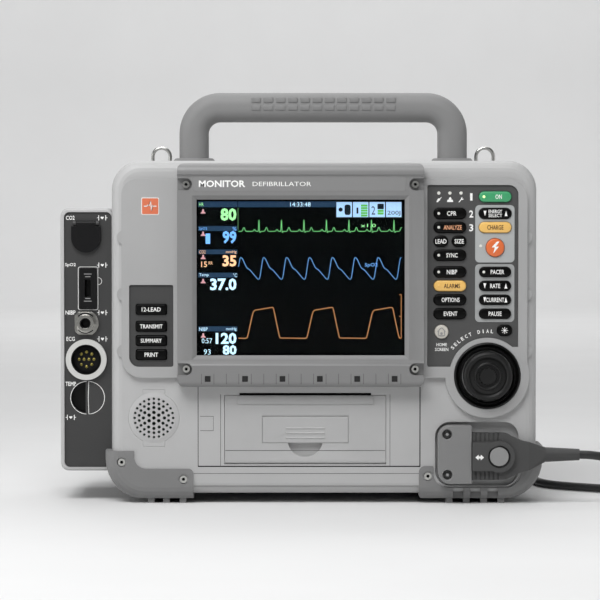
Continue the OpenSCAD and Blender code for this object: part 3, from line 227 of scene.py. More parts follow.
mesh = bpy.data.meshes.new("floor_sweep")
mesh.from_pydata((sweep * MM).tolist(), [], sweep_faces)
mesh.polygons.foreach_set("use_smooth", np.ones(len(mesh.polygons), bool))
floor = bpy.data.objects.new("floor_sweep", mesh)
bpy.context.scene.collection.objects.link(floor)
paper_floor, tree, output = new_material("floor_background_paper")
place = add_node(tree, "ShaderNodeTexCoord").outputs["Object"]
fibre = add_node(tree, "ShaderNodeTexNoise", {"Scale": 1 / (180 * MM), "Detail": 3.0}, {"Vector": place})
tone = add_node(tree, "ShaderNodeMix", {"data_type": "RGBA", 6: linear("#DFDFDF"), 7: linear("#E5E5E5")},
                {0: fibre.outputs["Fac"]}).outputs[2]
shader = add_node(tree, "ShaderNodeBsdfPrincipled", {"Roughness": 0.9}, {"Base Color": tone})
tree.links.new(shader.outputs[0], output.inputs[0])
mesh.materials.append(paper_floor)


def soft_light(name, at, aim, size, watts):
    """A square area light at one point in mm, turned towards another."""
    data = bpy.data.lights.new(name, "AREA")
    data.shape = "RECTANGLE"
    data.size, data.size_y = size[0] * MM, size[1] * MM
    data.energy = watts
    light = bpy.data.objects.new(name, data)
    light.location = Vector(at) * MM
    light.rotation_euler = (Vector(aim) - Vector(at)).to_track_quat("-Z", "Y").to_euler()
    bpy.context.scene.collection.objects.link(light)


soft_light("key_light", (-420, -1100, 1500), (0, 0, 150), (1300, 900), 27)
soft_light("top_light", (100, 150, 1500), (0, 0, 200), (1100, 800), 5)
soft_light("left_fill", (-1600, -700, 500), (0, 0, 150), (900, 900), 5.5)
soft_light("right_fill", (1600, -500, 500), (0, 0, 150), (900, 900), 3)
soft_light("wall_light", (0, 3300, 2400), (0, 5000, 400), (3000, 600), 39)
soft_light("floor_light", (0, 1900, 2400), (0, 2000, 0), (2600, 1400), 29)
world = bpy.data.worlds.new("studio_sky")
bpy.context.scene.world = world
world.use_nodes = True
world.node_tree.nodes["Background"].inputs["Color"].default_value = linear("#F4F6F8")
world.node_tree.nodes["Background"].inputs["Strength"].default_value = 0.13

# %% [markdown]
# Most of the unit is injection moulded. The steel mould is etched, so the skin
# has a fine even grain that breaks up the highlight, and the colour drifts a
# little where the plastic flowed. Real grain is about half a millimetre, which
# is too fine to see from here, so it is drawn about three times as coarse. The
# grain and the drift are noise on Object coordinates, which sit still on every
# part. A very faint second noise stands for handling marks in the gloss.

# %% Moulded plastics and rubbers
def moulded(name, colour, roughness, grain=1.6, relief=0.05, drift=0.06, ior=1.53,
            raised=None, coat=0.0, sheen=0.0, shine=0.5):
    """A moulded skin. Noise of grain mm makes a bump of relief mm and varies the
    roughness; noise of 45 mm shifts the colour by drift. raised = (depth in mm,
    colour) gives what stands in front of that depth a colour of its own. shine
    is the specular level, below a half where the skin is matted."""
    material, tree, output = new_material(name)
    place = add_node(tree, "ShaderNodeTexCoord").outputs["Object"]
    skin = add_node(tree, "ShaderNodeTexNoise",
                    {"Scale": 1 / (grain * MM), "Detail": 3.0, "Roughness": 0.6}, {"Vector": place})
    flow = add_node(tree, "ShaderNodeTexNoise",
                    {"Scale": 1 / (45 * MM), "Detail": 4.0}, {"Vector": place})
    dark, light = linear(colour, 1 - drift), linear(colour, 1 + drift)
    tone = add_node(tree, "ShaderNodeMix", {"data_type": "RGBA", 6: dark, 7: light},
                    {0: flow.outputs["Fac"]}).outputs[2]
    if raised:
        depth = add_node(tree, "ShaderNodeSeparateXYZ", {}, {0: place}).outputs["Y"]
        proud = add_node(tree, "ShaderNodeMath", {"operation": "LESS_THAN", 1: raised[0] * MM},
                         {0: depth}).outputs[0]
        tone = add_node(tree, "ShaderNodeMix", {"data_type": "RGBA", 7: linear(raised[1])},
                        {0: proud, 6: tone}).outputs[2]
    gloss = add_node(tree, "ShaderNodeMapRange",
                     {"To Min": max(roughness - 0.07, 0.03), "To Max": min(roughness + 0.07, 1.0)},
                     {"Value": skin.outputs["Fac"]})
    bump = add_node(tree, "ShaderNodeBump", {"Strength": 0.6, "Distance": relief * MM},
                    {"Height": skin.outputs["Fac"]})
    shader = add_node(tree, "ShaderNodeBsdfPrincipled",
                      {"IOR": ior, "Specular IOR Level": shine, "Coat Weight": coat, "Coat Roughness": 0.25,
                       "Sheen Weight": sheen, "Sheen Roughness": 0.5},
                      {"Base Color": tone, "Roughness": gloss.outputs["Result"],
                       "Normal": bump.outputs["Normal"]})
    tree.links.new(shader.outputs[0], output.inputs[0])
    return material


case_abs = moulded("case_abs_grained", "#B3B3B3", 0.52)
bezel_abs = moulded("bezel_abs_grained", "#A6A6A6", 0.45, grain=1.3)
display_abs = moulded("display_frame_abs_grained", "#808080", 0.42, grain=1.3)
port_abs = moulded("port_face_abs_grained", "#363636", 0.5, grain=1.4)
socket_pbt = moulded("socket_pbt_moulded", "#121213", 0.4, grain=1.2, shine=0.2)
receptacle_pbt = moulded("receptacle_pbt_moulded", "#7E7E7E", 0.48, grain=1.3)
plug_pbt = moulded("plug_pbt_moulded", "#474747", 0.5, grain=1.5, relief=0.07, shine=0.35)
release_abs = moulded("release_button_abs", "#8C8C8C", 0.42)
door_abs = moulded("printer_door_abs_grained", "#AFAFAF", 0.5)
knob_abs = moulded("dial_abs_satin", "#161616", 0.38, grain=1.0, relief=0.02, shine=0.3)
battery_abs = moulded("battery_case_abs", "#4E4F50", 0.5, grain=1.7, relief=0.07)
pads_pp = moulded("pads_connector_polypropylene", "#8A8A8C", 0.45)
panel_film = moulded("panel_polyester_film", "#4B4B4B", 0.4, grain=0.9, relief=0.012,
                     drift=0.03, raised=(-103.15, "#AEB1B1"))
side_film = moulded("side_panel_polyester_film", "#3E3E3E", 0.45, grain=0.9, relief=0.012, drift=0.03)
handle_rubber = moulded("handle_soft_elastomer", "#828282", 0.62, grain=1.5, relief=0.08, sheen=0.08)
bumper_rubber = moulded("bumper_elastomer", "#7B7B7B", 0.66, grain=1.8, relief=0.1, sheen=0.08)
boot_rubber = moulded("boot_elastomer", "#3B3B3B", 0.55, grain=1.2, relief=0.06)
heart_pbt = moulded("heart_ring_pbt_pale", "#C9C9C6", 0.4, grain=1.2, relief=0.03)
roller_rubber = moulded("roller_ground_rubber", "#2A2A2A", 0.75, grain=0.9, relief=0.05)
print("moulded skins", sum(m.users == 0 for m in bpy.data.materials))

# %% [markdown]
# Metal parts are few but they catch the eye. Stainless wire and screws are
# drawn or turned, which leaves fine parallel lines that stretch the highlight.
# The lines are noise squeezed along one axis. The hose fitting is plated brass,
# nearly smooth. The heart-lead ring beside it only looks like metal: it is pale
# moulded plastic, so it belongs to the skins above.
# Metals keep the default IOR, and their colour is what they reflect.

# %% Metals
def lined_metal(name, colour, roughness, line=0.4, along="X", relief=0.008):
    """Turned or drawn metal: noise that is fine across the lines and forty times
    longer along them drives a bump and the roughness."""
    material, tree, output = new_material(name)
    place = add_node(tree, "ShaderNodeTexCoord").outputs["Object"]
    fine = 1 / (line * MM)
    stretch = [fine / 40 if axis == along else fine for axis in "XYZ"]
    drawn = add_node(tree, "ShaderNodeMapping", {"Scale": stretch}, {"Vector": place})
    lines = add_node(tree, "ShaderNodeTexNoise", {"Scale": 1.0, "Detail": 2.0},
                     {"Vector": drawn.outputs[0]})
    tone = add_node(tree, "ShaderNodeMix",
                    {"data_type": "RGBA", 6: linear(colour, 0.85), 7: linear(colour, 1.08)},
                    {0: lines.outputs["Fac"]}).outputs[2]
    gloss = add_node(tree, "ShaderNodeMapRange",
                     {"To Min": roughness * 0.7, "To Max": roughness * 1.3},
                     {"Value": lines.outputs["Fac"]})
    bump = add_node(tree, "ShaderNodeBump", {"Strength": 0.5, "Distance": relief * MM},
                    {"Height": lines.outputs["Fac"]})
    shader = add_node(tree, "ShaderNodeBsdfPrincipled", {"Metallic": 1.0},
                      {"Base Color": tone, "Roughness": gloss.outputs["Result"],
                       "Normal": bump.outputs["Normal"]})
    tree.links.new(shader.outputs[0], output.inputs[0])
    return material


ring_steel = lined_metal("strap_ring_stainless_drawn", "#C9C9C6", 0.25, along="Z")
screw_steel = lined_metal("screw_stainless_turned", "#D2D2CE", 0.3, line=0.5, along="X")
spindle_steel = lined_metal("spindle_steel_turned", "#B5B5B2", 0.3, along="Y")
hose_brass = lined_metal("hose_fitting_plated_brass", "#C7C6C0", 0.2, along="X")
print("metals", 4)

# %% [markdown]
# Keys are moulded silicone under a hard clear coat, so each one has a crisp
# highlight along its rounded upper edge. Three are coloured to be found in a
# hurry. The coat is a second thin gloss layer on the shader, and a soft noise
# keeps the body colour from looking like paint.

# %% Key materials
def coated_key(name, colour, roughness=0.35, coat=0.6, shine=0.5):
    """A hard-coated silicone key: a body colour with a 20 mm drift, a 0.8 mm
    pebble in the gloss, and a coat that gives the narrow highlight."""
    return moulded(name, colour, roughness, grain=0.8, relief=0.012, drift=0.05, ior=1.48, coat=coat,
                   shine=shine)


key_black = coated_key("key_silicone_black", "#040404", 0.42, 0.12, 0.1)
key_green = coated_key("key_silicone_green", "#3FA06B", 0.4, 0.4)
key_yellow = coated_key("key_silicone_yellow", "#F0C069", 0.4, 0.4)
key_orange = coated_key("key_silicone_orange", "#E2703A", 0.4, 0.4)
key_beige = coated_key("key_silicone_beige", "#C9C5BC", 0.4, 0.4)
print("key colours", 5)

# %% [markdown]
# Almost every small part on the front is the same shape with different sizes:
# a rounded rectangle carried along a short profile of insets and depths. A key,
# a label, a light and a picture tile all come from it. So the outline is one
# function and the slab another, and pieces that belong together are joined
# into one mesh before they are handed to the body that they move with.

# %% Shape helpers
def rounded(width, height, corner, inset, count=9):
    """A rounded rectangle about zero, anticlockwise: a quarter circle of the
    corner radius in each corner, everything moved in by the inset."""
    w, h = width / 2 - inset, height / 2 - inset
    r = np.clip(corner - inset, 0.02, min(w, h) - 0.02)
    turn = np.radians(np.arange(4)[:, None] * 90 + np.linspace(0, 90, count)[None, :])
    sx, sz = np.array([1, -1, -1, 1])[:, None], np.array([1, 1, -1, -1])[:, None]
    return (sx * (w - r) + r * np.cos(turn)).ravel(), (sz * (h - r) + r * np.sin(turn)).ravel()


def loft(rings):
    """Joins closed rings of equal length, back to front, with quads, and closes
    the first and the last with one face each."""
    count, around = rings.shape[0], rings.shape[1]
    i = np.arange(around)
    k = np.arange(count - 1)[:, None] * around
    nxt = (i + 1) % around
    quads = np.stack([k + i, k + nxt, k + around + nxt, k + around + i], -1).reshape(-1, 4)
    faces = quads.tolist() + [i[::-1].tolist(), (i + (count - 1) * around).tolist()]
    return rings.reshape(-1, 3), faces


def slab(x, z, width, height, corner, profile, count=9):
    """A rounded rectangle in front view, carried along (inset, y) pairs."""
    outlines = [rounded(width, height, corner, inset, count) for inset, y in profile]
    rings = np.array([np.column_stack([x + ox, np.full(len(ox), y), z + oz])
                      for (ox, oz), (inset, y) in zip(outlines, profile)])
    return loft(rings)


def edge(front, back, radius, steps=4, dome=0.0, reach=0.0):
    """A profile that rises from back, turns a quarter circle of the radius onto
    the front, and then swells by dome over the reach towards the middle."""
    a = np.linspace(0, np.pi / 2, steps)
    turn = [(radius * (1 - math.cos(t)), front + radius * (1 - math.sin(t))) for t in a]
    crown = [(radius + reach * s, front - dome * (1 - (1 - s) ** 2)) for s in (0.25, 0.55, 1.0)]
    return [(0.0, back), *turn, *(crown if dome else [])]


def tile(x0, x1, z0, z1, front, back, corner=0.4, radius=0.1):
    """A thin plate given by its sides, with a small round edge."""
    return slab((x0 + x1) / 2, (z0 + z1) / 2, x1 - x0, z1 - z0, corner,
                edge(front, back, radius, 2), 4)


def disc(x, z, radius, front, back, dome=0.0, rim=0.15):
    """A round slab with an optional dome."""
    return slab(x, z, 2 * radius, 2 * radius, radius, edge(front, back, rim, 3, dome, radius * 0.8), 7)


def strip(xs, zs, width, front, back):
    """A line of constant width with a square section along points in front view;
    the sides stand off along the normal of each point."""
    path = np.column_stack([xs, zs])
    along = np.gradient(path, axis=0)
    along /= np.linalg.norm(along, axis=1)[:, None]
    side = np.column_stack([-along[:, 1], along[:, 0]]) * width / 2
    left, right = path + side, path - side
    rings = np.stack([np.column_stack([p[:, 0], np.full(len(p), y), p[:, 1]])
                      for p, y in ((right, back), (left, back), (left, front), (right, front))], 1)
    verts, faces = loft(rings)
    return verts, [f[::-1] for f in faces]


def polygon_plate(points, front, back):
    """A flat plate from an anticlockwise outline in front view."""
    p = np.array(points, float)
    rings = np.stack([np.column_stack([p[:, 0], np.full(len(p), y), p[:, 1]]) for y in (back, front)])
    return loft(rings)


def letters(text, x, z, width, height, front, thick=0.12, turn=0.0, bold=0.0):
    """Type made a mesh, stretched to the width and height given and centred on
    x and z, facing forwards. turn is in degrees, anticlockwise."""
    face = bpy.data.curves.new("type", "FONT")
    face.body, face.size, face.resolution_u = text, 10.0, 2
    face.extrude, face.offset = 0.5, bold
    holder = bpy.data.objects.new("type", face)
    mesh = bpy.data.meshes.new_from_object(holder)
    co = np.empty(len(mesh.vertices) * 3)
    mesh.vertices.foreach_get("co", co)
    co = co.reshape(-1, 3)
    faces = [list(p.vertices) for p in mesh.polygons]
    bpy.data.objects.remove(holder)
    bpy.data.meshes.remove(mesh)
    low, high = co.min(0), co.max(0)
    flat = (co - (low + high) / 2) / (high - low) * np.array([width, height, thick])
    c, s = math.cos(math.radians(turn)), math.sin(math.radians(turn))
    return np.column_stack([x + c * flat[:, 0] - s * flat[:, 1], front + thick / 2 - flat[:, 2],
                            z + s * flat[:, 0] + c * flat[:, 1]]), faces


def piece(name, parts, material, body="root", smooth=40):
    """Joins parts into one mesh in metres, smooth where faces meet at less than
    the angle, and lets it ride on a body."""
    start = np.cumsum([0] + [len(v) for v, f in parts])
    verts = np.vstack([v for v, f in parts]) * MM
    faces = [[i + s for i in face] for (v, f), s in zip(parts, start.tolist()) for face in f]
    mesh = bpy.data.meshes.new(name)
    mesh.from_pydata(verts.tolist(), [], faces)
    mesh.polygons.foreach_set("use_smooth", np.ones(len(mesh.polygons), bool))
    mesh.set_sharp_from_angle(angle=math.radians(smooth))
    mesh.materials.append(material)
    made = bpy.data.objects.new(name, mesh)
    bpy.context.scene.collection.objects.link(made)
    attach(made, body)
    return made


# %% [markdown]
# A CAD part has perfectly sharp edges, and nothing real has. A mould or a mill
# leaves a small radius, and that thin line of light is what makes an edge look
# solid. So each crisp part is copied, its loose triangles are merged back into
# whole faces, and a Bevel modifier rounds every edge that turns by more than
# thirty degrees. The copy then stands in for the CAD part, which is untouched.

# %% Softened copies of the crisp parts
bodies_of = {n: body for body, members in frame["record"]["behaviour"]["bodies"].items() for n in members}


def soften(node, radius, material, segments=2, angle=30):
    """Copies a node's mesh, merges its doubles, dissolves flat triangles, and
    rounds its edges to the radius in mm."""
    mesh = nodes[node].data.copy()
    mesh.name = node + "_soft"
    work = bmesh.new()
    work.from_mesh(mesh)
    bmesh.ops.remove_doubles(work, verts=work.verts, dist=0.004 * MM)
    bmesh.ops.dissolve_limit(work, angle_limit=math.radians(0.6), verts=work.verts, edges=work.edges)
    work.to_mesh(mesh)
    work.free()
    mesh.materials.clear()
    mesh.materials.append(material)
    mesh.polygons.foreach_set("use_smooth", np.ones(len(mesh.polygons), bool))
    if "sharp_edge" in mesh.attributes:
        mesh.attributes.remove(mesh.attributes["sharp_edge"])
    mesh.set_sharp_from_angle(angle=math.radians(angle))
    soft = bpy.data.objects.new(node + "_soft", mesh)
    bpy.context.scene.collection.objects.link(soft)
    bevel = soft.modifiers.new("edge_radius", "BEVEL")
    bevel.width, bevel.segments = radius * MM, segments
    bevel.limit_method, bevel.angle_limit = "ANGLE", math.radians(angle)
    bevel.harden_normals = True
    bevel.use_clamp_overlap = True
    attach(soft, bodies_of[node])
    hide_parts(node)
    return soft


SOFT = [
    ("front_bezel", 0.8, bezel_abs, "bezel_plastic"),
    ("display_frame", 0.8, display_abs, "frame_plastic"),
    ("printer_housing", 0.5, case_abs, "case_plastic"),
    ("printer_door", 0.5, door_abs, "door_plastic"),
    ("door_latch", 0.4, door_abs, "door_plastic"),
    ("port_case", 0.6, case_abs, "case_plastic"),
    ("port_panel", 0.3, port_abs, "port_plastic"),
    ("spo2_port", 0.5, socket_pbt, "socket_plastic"),
    ("co2_door", 0.5, socket_pbt, "socket_plastic"),
    ("nibp_port", 0.25, hose_brass, "port_metal"),
    ("therapy_receptacle", 0.7, receptacle_pbt, "receptacle_plastic"),
    ("therapy_plug", 0.8, plug_pbt, "plug_plastic"),
    ("plug_release", 0.5, release_abs, "release_plastic"),
    ("battery_left", 1.0, battery_abs, "battery_plastic"),
    ("battery_right", 1.0, battery_abs, "battery_plastic"),
    ("pads_connector", 1.2, pads_pp, "pads_plastic"),
    ("control_panel", 0.15, panel_film, "panel_film"),
    ("side_panel", 0.15, side_film, "side_film"),
]
soft = {name: soften(name, radius, material) for name, radius, material, slot in SOFT}
print("softened copies", len(soft))

# %% [markdown]
# The picture on a liquid crystal display is lit from behind, so figures and
# traces glow while the rest stays nearly black. Each colour is a thin sheet of
# light just behind the window: numbers, header bars and three running traces.
# The heart trace is a row of narrow bell curves, the pulse trace falls in two
# steps after a fast rise, and the breath trace is a soft-cornered box. The
# light is broken by a fine cell pattern, as the real picture is by its dots.

# %% Display picture
def glow(name, colour, strength=1.0, dots=1.1):
    """A lit part of the picture: emission broken by a fine checker of cells."""
    material, tree, output = new_material(name)
    place = add_node(tree, "ShaderNodeTexCoord").outputs["Object"]
    cells = add_node(tree, "ShaderNodeTexVoronoi", {"Scale": 1 / (dots * MM)}, {"Vector": place})
    tone = add_node(tree, "ShaderNodeMix",
                    {"data_type": "RGBA", 6: linear(colour), 7: linear(colour, 0.88)},
                    {0: cells.outputs["Distance"]}).outputs[2]
    shader = add_node(tree, "ShaderNodeBsdfPrincipled",
                      {"Roughness": 0.4, "Emission Strength": strength, "Specular IOR Level": 0.2},
                      {"Emission Color": tone, "Base Color": tone})
    tree.links.new(shader.outputs[0], output.inputs[0])
    return material


lit_green = glow("display_light_green", "#9DE89B", 1.0)
lit_blue = glow("display_light_blue", "#6FA9EE", 1.0)
lit_peach = glow("display_light_peach", "#F2BE92", 1.0)
lit_pale = glow("display_light_pale", "#C4E6F8", 1.0)
lit_pink = glow("display_light_pink", "#D9A0A8", 0.6)
lit_bar = glow("display_header_blue", "#223A55", 0.6)
lit_tile = glow("display_tile_blue", "#A3C4E6", 0.85)
trace_green = glow("display_trace_green", "#6FC076", 0.8)
trace_blue = glow("display_trace_blue", "#5F93D0", 0.8)
trace_peach = glow("display_trace_peach", "#D08F5C", 0.8)
ink_dark = glow("display_ink_dark", "#16242E", 0.1)
cell_green = glow("display_cell_green", "#5BB04C", 0.7)

lcd_front = box_mm("lcd_panel")[0][1]
picture_l, picture_r = -85.75, 85.25
picture_b, picture_t = 123.2, 251.2
picture_y = lcd_front - 0.25
ink_y = picture_y - 0.15


def px(column):
    """Places along the picture: left edge plus a share of its 209 dots."""
    return picture_l + column * (picture_r - picture_l) / 209.0


def pz(row):
    """Places down the picture, in the same dots, from its top edge."""
    return picture_t - row * (picture_t - picture_b) / 156.0


def bar(c0, c1, r0, r1):
    return tile(px(c0), px(c1), pz(r1), pz(r0), picture_y, picture_y + 0.2, 0.2, 0.05)


def type_at(text, c0, c1, r0, r1, bold=0.0):
    """Type that fills the dots c0 to c1 and r0 to r1 of the picture."""
    return letters(text, (px(c0) + px(c1)) / 2, (pz(r0) + pz(r1)) / 2, px(c1) - px(c0),
                   pz(r0) - pz(r1), ink_y, 0.1, bold=bold)


piece("display_bars", [bar(1.5, 41, 1.8, 7.6), bar(41.6, 140, 1.8, 7.6), bar(1.5, 41, 26.5, 31.4),
                       bar(1.5, 41, 50, 54.6), bar(1.5, 41, 73.3, 78), bar(1.5, 41, 127, 132)], lit_bar)
piece("display_green", [type_at("HR", 2.5, 7, 3, 6.6), type_at("80", 24, 40, 8.6, 21.2, 0.35),
                        type_at("x1.0", 160 + 5, 160 + 20, 24.2, 27.6),
                        strip([px(41.6), px(41.6)], [pz(30), pz(8)], 0.12, ink_y, ink_y + 0.1)], lit_green)
piece("display_blue", [type_at("SpO2", 2.5, 10.5, 27.6, 30.8), type_at("%", 36, 40, 27.4, 31),
                       type_at("99", 26, 40, 31.4, 44, 0.35), bar(9, 13.6, 34, 44.2),
                       type_at("SpO2", 169, 182, 63.5, 68)], lit_blue)
piece("display_peach", [type_at("CO2", 2.5, 9, 50.8, 54), type_at("mmHg", 29.5, 40, 50.9, 54.4),
                        type_at("35", 26, 40, 55.6, 67, 0.35), type_at("15", 4.5, 10.5, 62, 67.6, 0.1),
                        type_at("RR", 12, 16, 62, 65)], lit_peach)
piece("display_pale", [type_at("Temp", 2.5, 12, 73.8, 77.6), type_at("°C", 36.5, 40.5, 73.8, 77.6),
                       type_at("37.0", 13.5, 40, 78.8, 91, 0.35), type_at("NIBP", 2.5, 11, 128, 131.6),
                       type_at("mmHg", 29.5, 40, 128, 131.8), type_at("120", 19, 40, 133.4, 144.8, 0.35),
                       type_at("80", 26, 40, 145.8, 155.6, 0.35), type_at("0:57", 5, 15.5, 139, 144),
                       type_at("93", 7, 14, 150, 155.4), type_at("14:33:48", 94, 114.5, 2.6, 7)], lit_pale)


def bell(c, r, size):
    """A small alarm bell: a plate whose sides flare towards the rim."""
    h = np.array([-1, -1, -0.45, -0.3, 0.3, 0.45, 1, 1])
    v = np.array([0.9, 0.55, 0.1, -0.9, -0.9, 0.1, 0.55, 0.9])
    order = np.column_stack([px(c) + h * size, pz(r) - v * size])
    return polygon_plate(order, ink_y, ink_y + 0.1)


piece("display_bells", [bell(6.5, r, 2.0) for r in (11.8, 34.2, 57.4, 81.6, 136.2)], lit_pink)

columns = np.linspace(42, 206, 1400)
beat = (columns - 62.6) / 22.6
phase = beat - np.round(beat)
heart = (11.5 * np.exp(-(phase / 0.018) ** 2) - 1.3 * np.exp(-((phase - 0.05) / 0.02) ** 2)
         + 3.9 * np.exp(-((phase - 0.33) / 0.055) ** 2) + 1.9 * np.exp(-((phase + 0.2) / 0.05) ** 2))
pulse = ((columns - 43.6) / 23.0) % 1.0
drop = np.interp(pulse, [0, 0.1, 0.3, 0.42, 0.78, 0.86, 1.0], [22.8, 21.6, 11.5, 10.4, 0.5, 0.9, 22.8])
kernel = np.hanning(25) / np.hanning(25).sum()
drop = np.convolve(np.pad(drop, 12, mode="edge"), kernel, "valid")
breath = (columns - 50.0) % 60.0
gas = np.interp(breath, [0, 1, 6.5, 8.5, 25, 27, 30.5, 33.5, 60], [0, 1, 26, 28.2, 31, 31, 14, 0.3, 0])
gas = np.convolve(np.pad(gas, 12, mode="edge"), kernel, "valid")
every = slice(None, None, 3)
piece("trace_heart", [strip(px(columns), pz(31.8 - heart), 0.55, ink_y, ink_y + 0.1)], trace_green)
piece("trace_pulse", [strip(px(columns[every]), pz(80.4 - drop[every]), 0.6, ink_y, ink_y + 0.1)], trace_blue)
piece("trace_breath", [strip(px(columns[every]), pz(139 - gas[every]), 0.6, ink_y, ink_y + 0.1),
                       strip(np.full(3, px(205.6)), pz(np.array([95.0, 117, 139])), 0.4, ink_y, ink_y + 0.1),
                       *[strip(px(np.array([203.4, 205.6])), np.full(2, pz(r)), 0.4, ink_y, ink_y + 0.1)
                         for r in (95.2, 117, 138.8)]], trace_peach)
TILES = (140.4, 157.0, 173.6, 190.2)
piece("display_tiles", [bar(c, c + 15.6, 2.4, 17.6) for c in TILES], lit_tile)
piece("display_tile_ink", [disc(px(144.6), pz(10), 1.7, ink_y, ink_y + 0.1, 0, 0.05),
                           tile(px(148.6), px(154.6), pz(15.4), pz(5), ink_y, ink_y + 0.1, 1.6, 0.05),
                           type_at("1", 160.6, 162.4, 8, 14), type_at("2", 175.6, 179.4, 6.6, 15),
                           tile(px(181.6), px(188), pz(9.6), pz(4.2), ink_y, ink_y + 0.1, 0.6, 0.05),
                           type_at("200J", 191.6, 204.6, 11.2, 16.4)], ink_dark)
piece("display_cells", [tile(px(165), px(171.6), pz(r + 2), pz(r), ink_y, ink_y + 0.1, 0.2, 0.05)
                        for r in (5, 7.5, 10, 12.5, 15)]
      + [tile(px(181.8), px(187.8), pz(r + 2.2), pz(r), ink_y, ink_y + 0.1, 0.2, 0.05)
         for r in (10.2, 12.8)], cell_green)

lcd_dark, tree, output = new_material("display_cell_glass_black")
place = add_node(tree, "ShaderNodeTexCoord").outputs["Object"]
haze = add_node(tree, "ShaderNodeTexNoise", {"Scale": 1 / (60 * MM), "Detail": 2.0}, {"Vector": place})
tone = add_node(tree, "ShaderNodeMix", {"data_type": "RGBA", 6: linear("#020405"), 7: linear("#04080A")},
                {0: haze.outputs["Fac"]}).outputs[2]
shader = add_node(tree, "ShaderNodeBsdfPrincipled", {"Roughness": 0.6, "Specular IOR Level": 0.05},
                  {"Base Color": tone})
tree.links.new(shader.outputs[0], output.inputs[0])
nodes["lcd_panel"].data.materials.clear()
nodes["lcd_panel"].data.materials.append(lcd_dark)
print("picture", round(picture_r - picture_l, 1), "by", round(picture_t - picture_b, 1), "mm")

# %% [markdown]
# The window over the display is a sheet of clear acrylic with an etched front
# and a coating that stops nearly all reflections, so the picture stays black
# under studio light. It is a slab with a small polished chamfer. The shader is
# fully transmitting. Acrylic has an IOR of 1.49, but that would mirror the pale
# floor, so a value near one stands for the coated pane, which is too thin for
# its bending to show. A fine noise in the roughness stands for the etch.

# %% Display window
window_glass, tree, output = new_material("window_acrylic_etched")
place = add_node(tree, "ShaderNodeTexCoord").outputs["Object"]
etch = add_node(tree, "ShaderNodeTexNoise", {"Scale": 1 / (1.2 * MM), "Detail": 2.0}, {"Vector": place})
gloss = add_node(tree, "ShaderNodeMapRange", {"To Min": 0.0, "To Max": 0.02},
                 {"Value": etch.outputs["Fac"]}).outputs["Result"]
shader = add_node(tree, "ShaderNodeBsdfPrincipled",
                  {"Base Color": linear("#F4F7F6"), "IOR": 1.08, "Transmission Weight": 1.0,
                   "Specular IOR Level": 0.03},
                  {"Roughness": gloss})
tree.links.new(shader.outputs[0], output.inputs[0])
window_low, window_high = box_mm("display_window")
window_x, _, window_z = (window_low + window_high) / 2
window_w, _, window_h = window_high - window_low
window = piece("window_pane", [slab(window_x, window_z, window_w, window_h, 1.0,
                                    edge(window_low[1], window_low[1] + 1.6, 0.3, 3))],
               window_glass)
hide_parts("display_window")
print("window", np.round(window_high - window_low, 1), "mm")

# %% [markdown]
# Each key is one moulding with a crowned top, so its highlight runs along the
# upper edge and fades down the face. The CAD keys have the right outline and
# travel but flat tops, so every key gets a cap from the slab function, a touch
# of crown, and its own legend and light. Cap and legend ride on the key's own
# body and go in with it when it is pressed.

# %% Key caps and legends
legend_white = moulded("legend_ink_white", "#FAFAF8", 0.5, grain=0.7, relief=0.01, drift=0.03)
legend_brown = moulded("legend_ink_brown", "#3E1A0C", 0.5, grain=0.7, relief=0.01, drift=0.05)
legend_orange = moulded("legend_ink_orange", "#F0AE84", 0.5, grain=0.7, relief=0.01, drift=0.05)
legend_grey = moulded("legend_ink_grey", "#8F8F8F", 0.55, grain=0.7, relief=0.01, drift=0.04)
light_clear = glow("status_light_clear", "#DCDCD6", 0.15)
light_green = glow("status_light_green", "#D8F5A8", 0.9)

KEY_TOPS = {"key_on": ("key_green", key_green), "key_charge": ("key_yellow", key_yellow),
            "key_alarms": ("key_yellow", key_yellow), "key_shock": ("key_orange", key_orange),
            "key_home": ("key_beige", key_beige)}
WORDS = {
    "key_on": ("ON", 0.1, 0.2, "led"), "key_cpr": ("CPR", 0.05, 0.29, "led"),
    "key_analyze": ("ANALYZE", 0.08, 0.56, "led"), "key_lead": ("LEAD", 0, 0.78, ""),
    "key_size": ("SIZE", 0, 0.66, ""), "key_sync": ("SYNC", 0.06, 0.35, "led"),
    "key_nibp": ("NIBP", 0.06, 0.32, "led"), "key_alarms": ("ALARMS", 0.06, 0.5, "led"),
    "key_options": ("OPTIONS", 0.02, 0.56, ""), "key_event": ("EVENT", 0.02, 0.42, ""),
    "key_charge": ("CHARGE", 0, 0.5, ""), "key_pacer": ("PACER", 0.07, 0.42, "led"),
    "key_rate": ("RATE", 0, 0.31, "arrows"), "key_current": ("CURRENT", 0, 0.56, "arrows"),
    "key_pause": ("PAUSE", 0, 0.4, ""), "key_energy": ("ENERGY|SELECT", 0, 0.42, "arrows"),
    "key_twelve_lead": ("12-LEAD", 0, 0.62, ""), "key_transmit": ("TRANSMIT", 0, 0.74, ""),
    "key_summary": ("SUMMARY", 0, 0.68, ""), "key_print": ("PRINT", 0, 0.44, ""),
    "key_shock": ("", 0, 0, "bolt"), "key_home": ("", 0, 0, "house"), "key_mode": ("", 0, 0, "star")}
KEY_LIP = 0.75
LEGEND_PROUD = 0.1
INKS = {"key_analyze": legend_orange, "key_charge": legend_brown, "key_alarms": legend_brown}
BOLT = [(0.16, 0.62), (-0.36, 0.02), (-0.04, 0.02), (-0.2, -0.62), (0.36, 0.1), (0.03, 0.1), (0.42, 0.62)]


def arrow(x, z, half_w, half_h, up, front):
    tip = half_h if up else -half_h
    corners = [(x - half_w, z - tip), (x + half_w, z - tip), (x, z + tip)]
    return polygon_plate(corners if up else corners[::-1], front, front + 0.12)


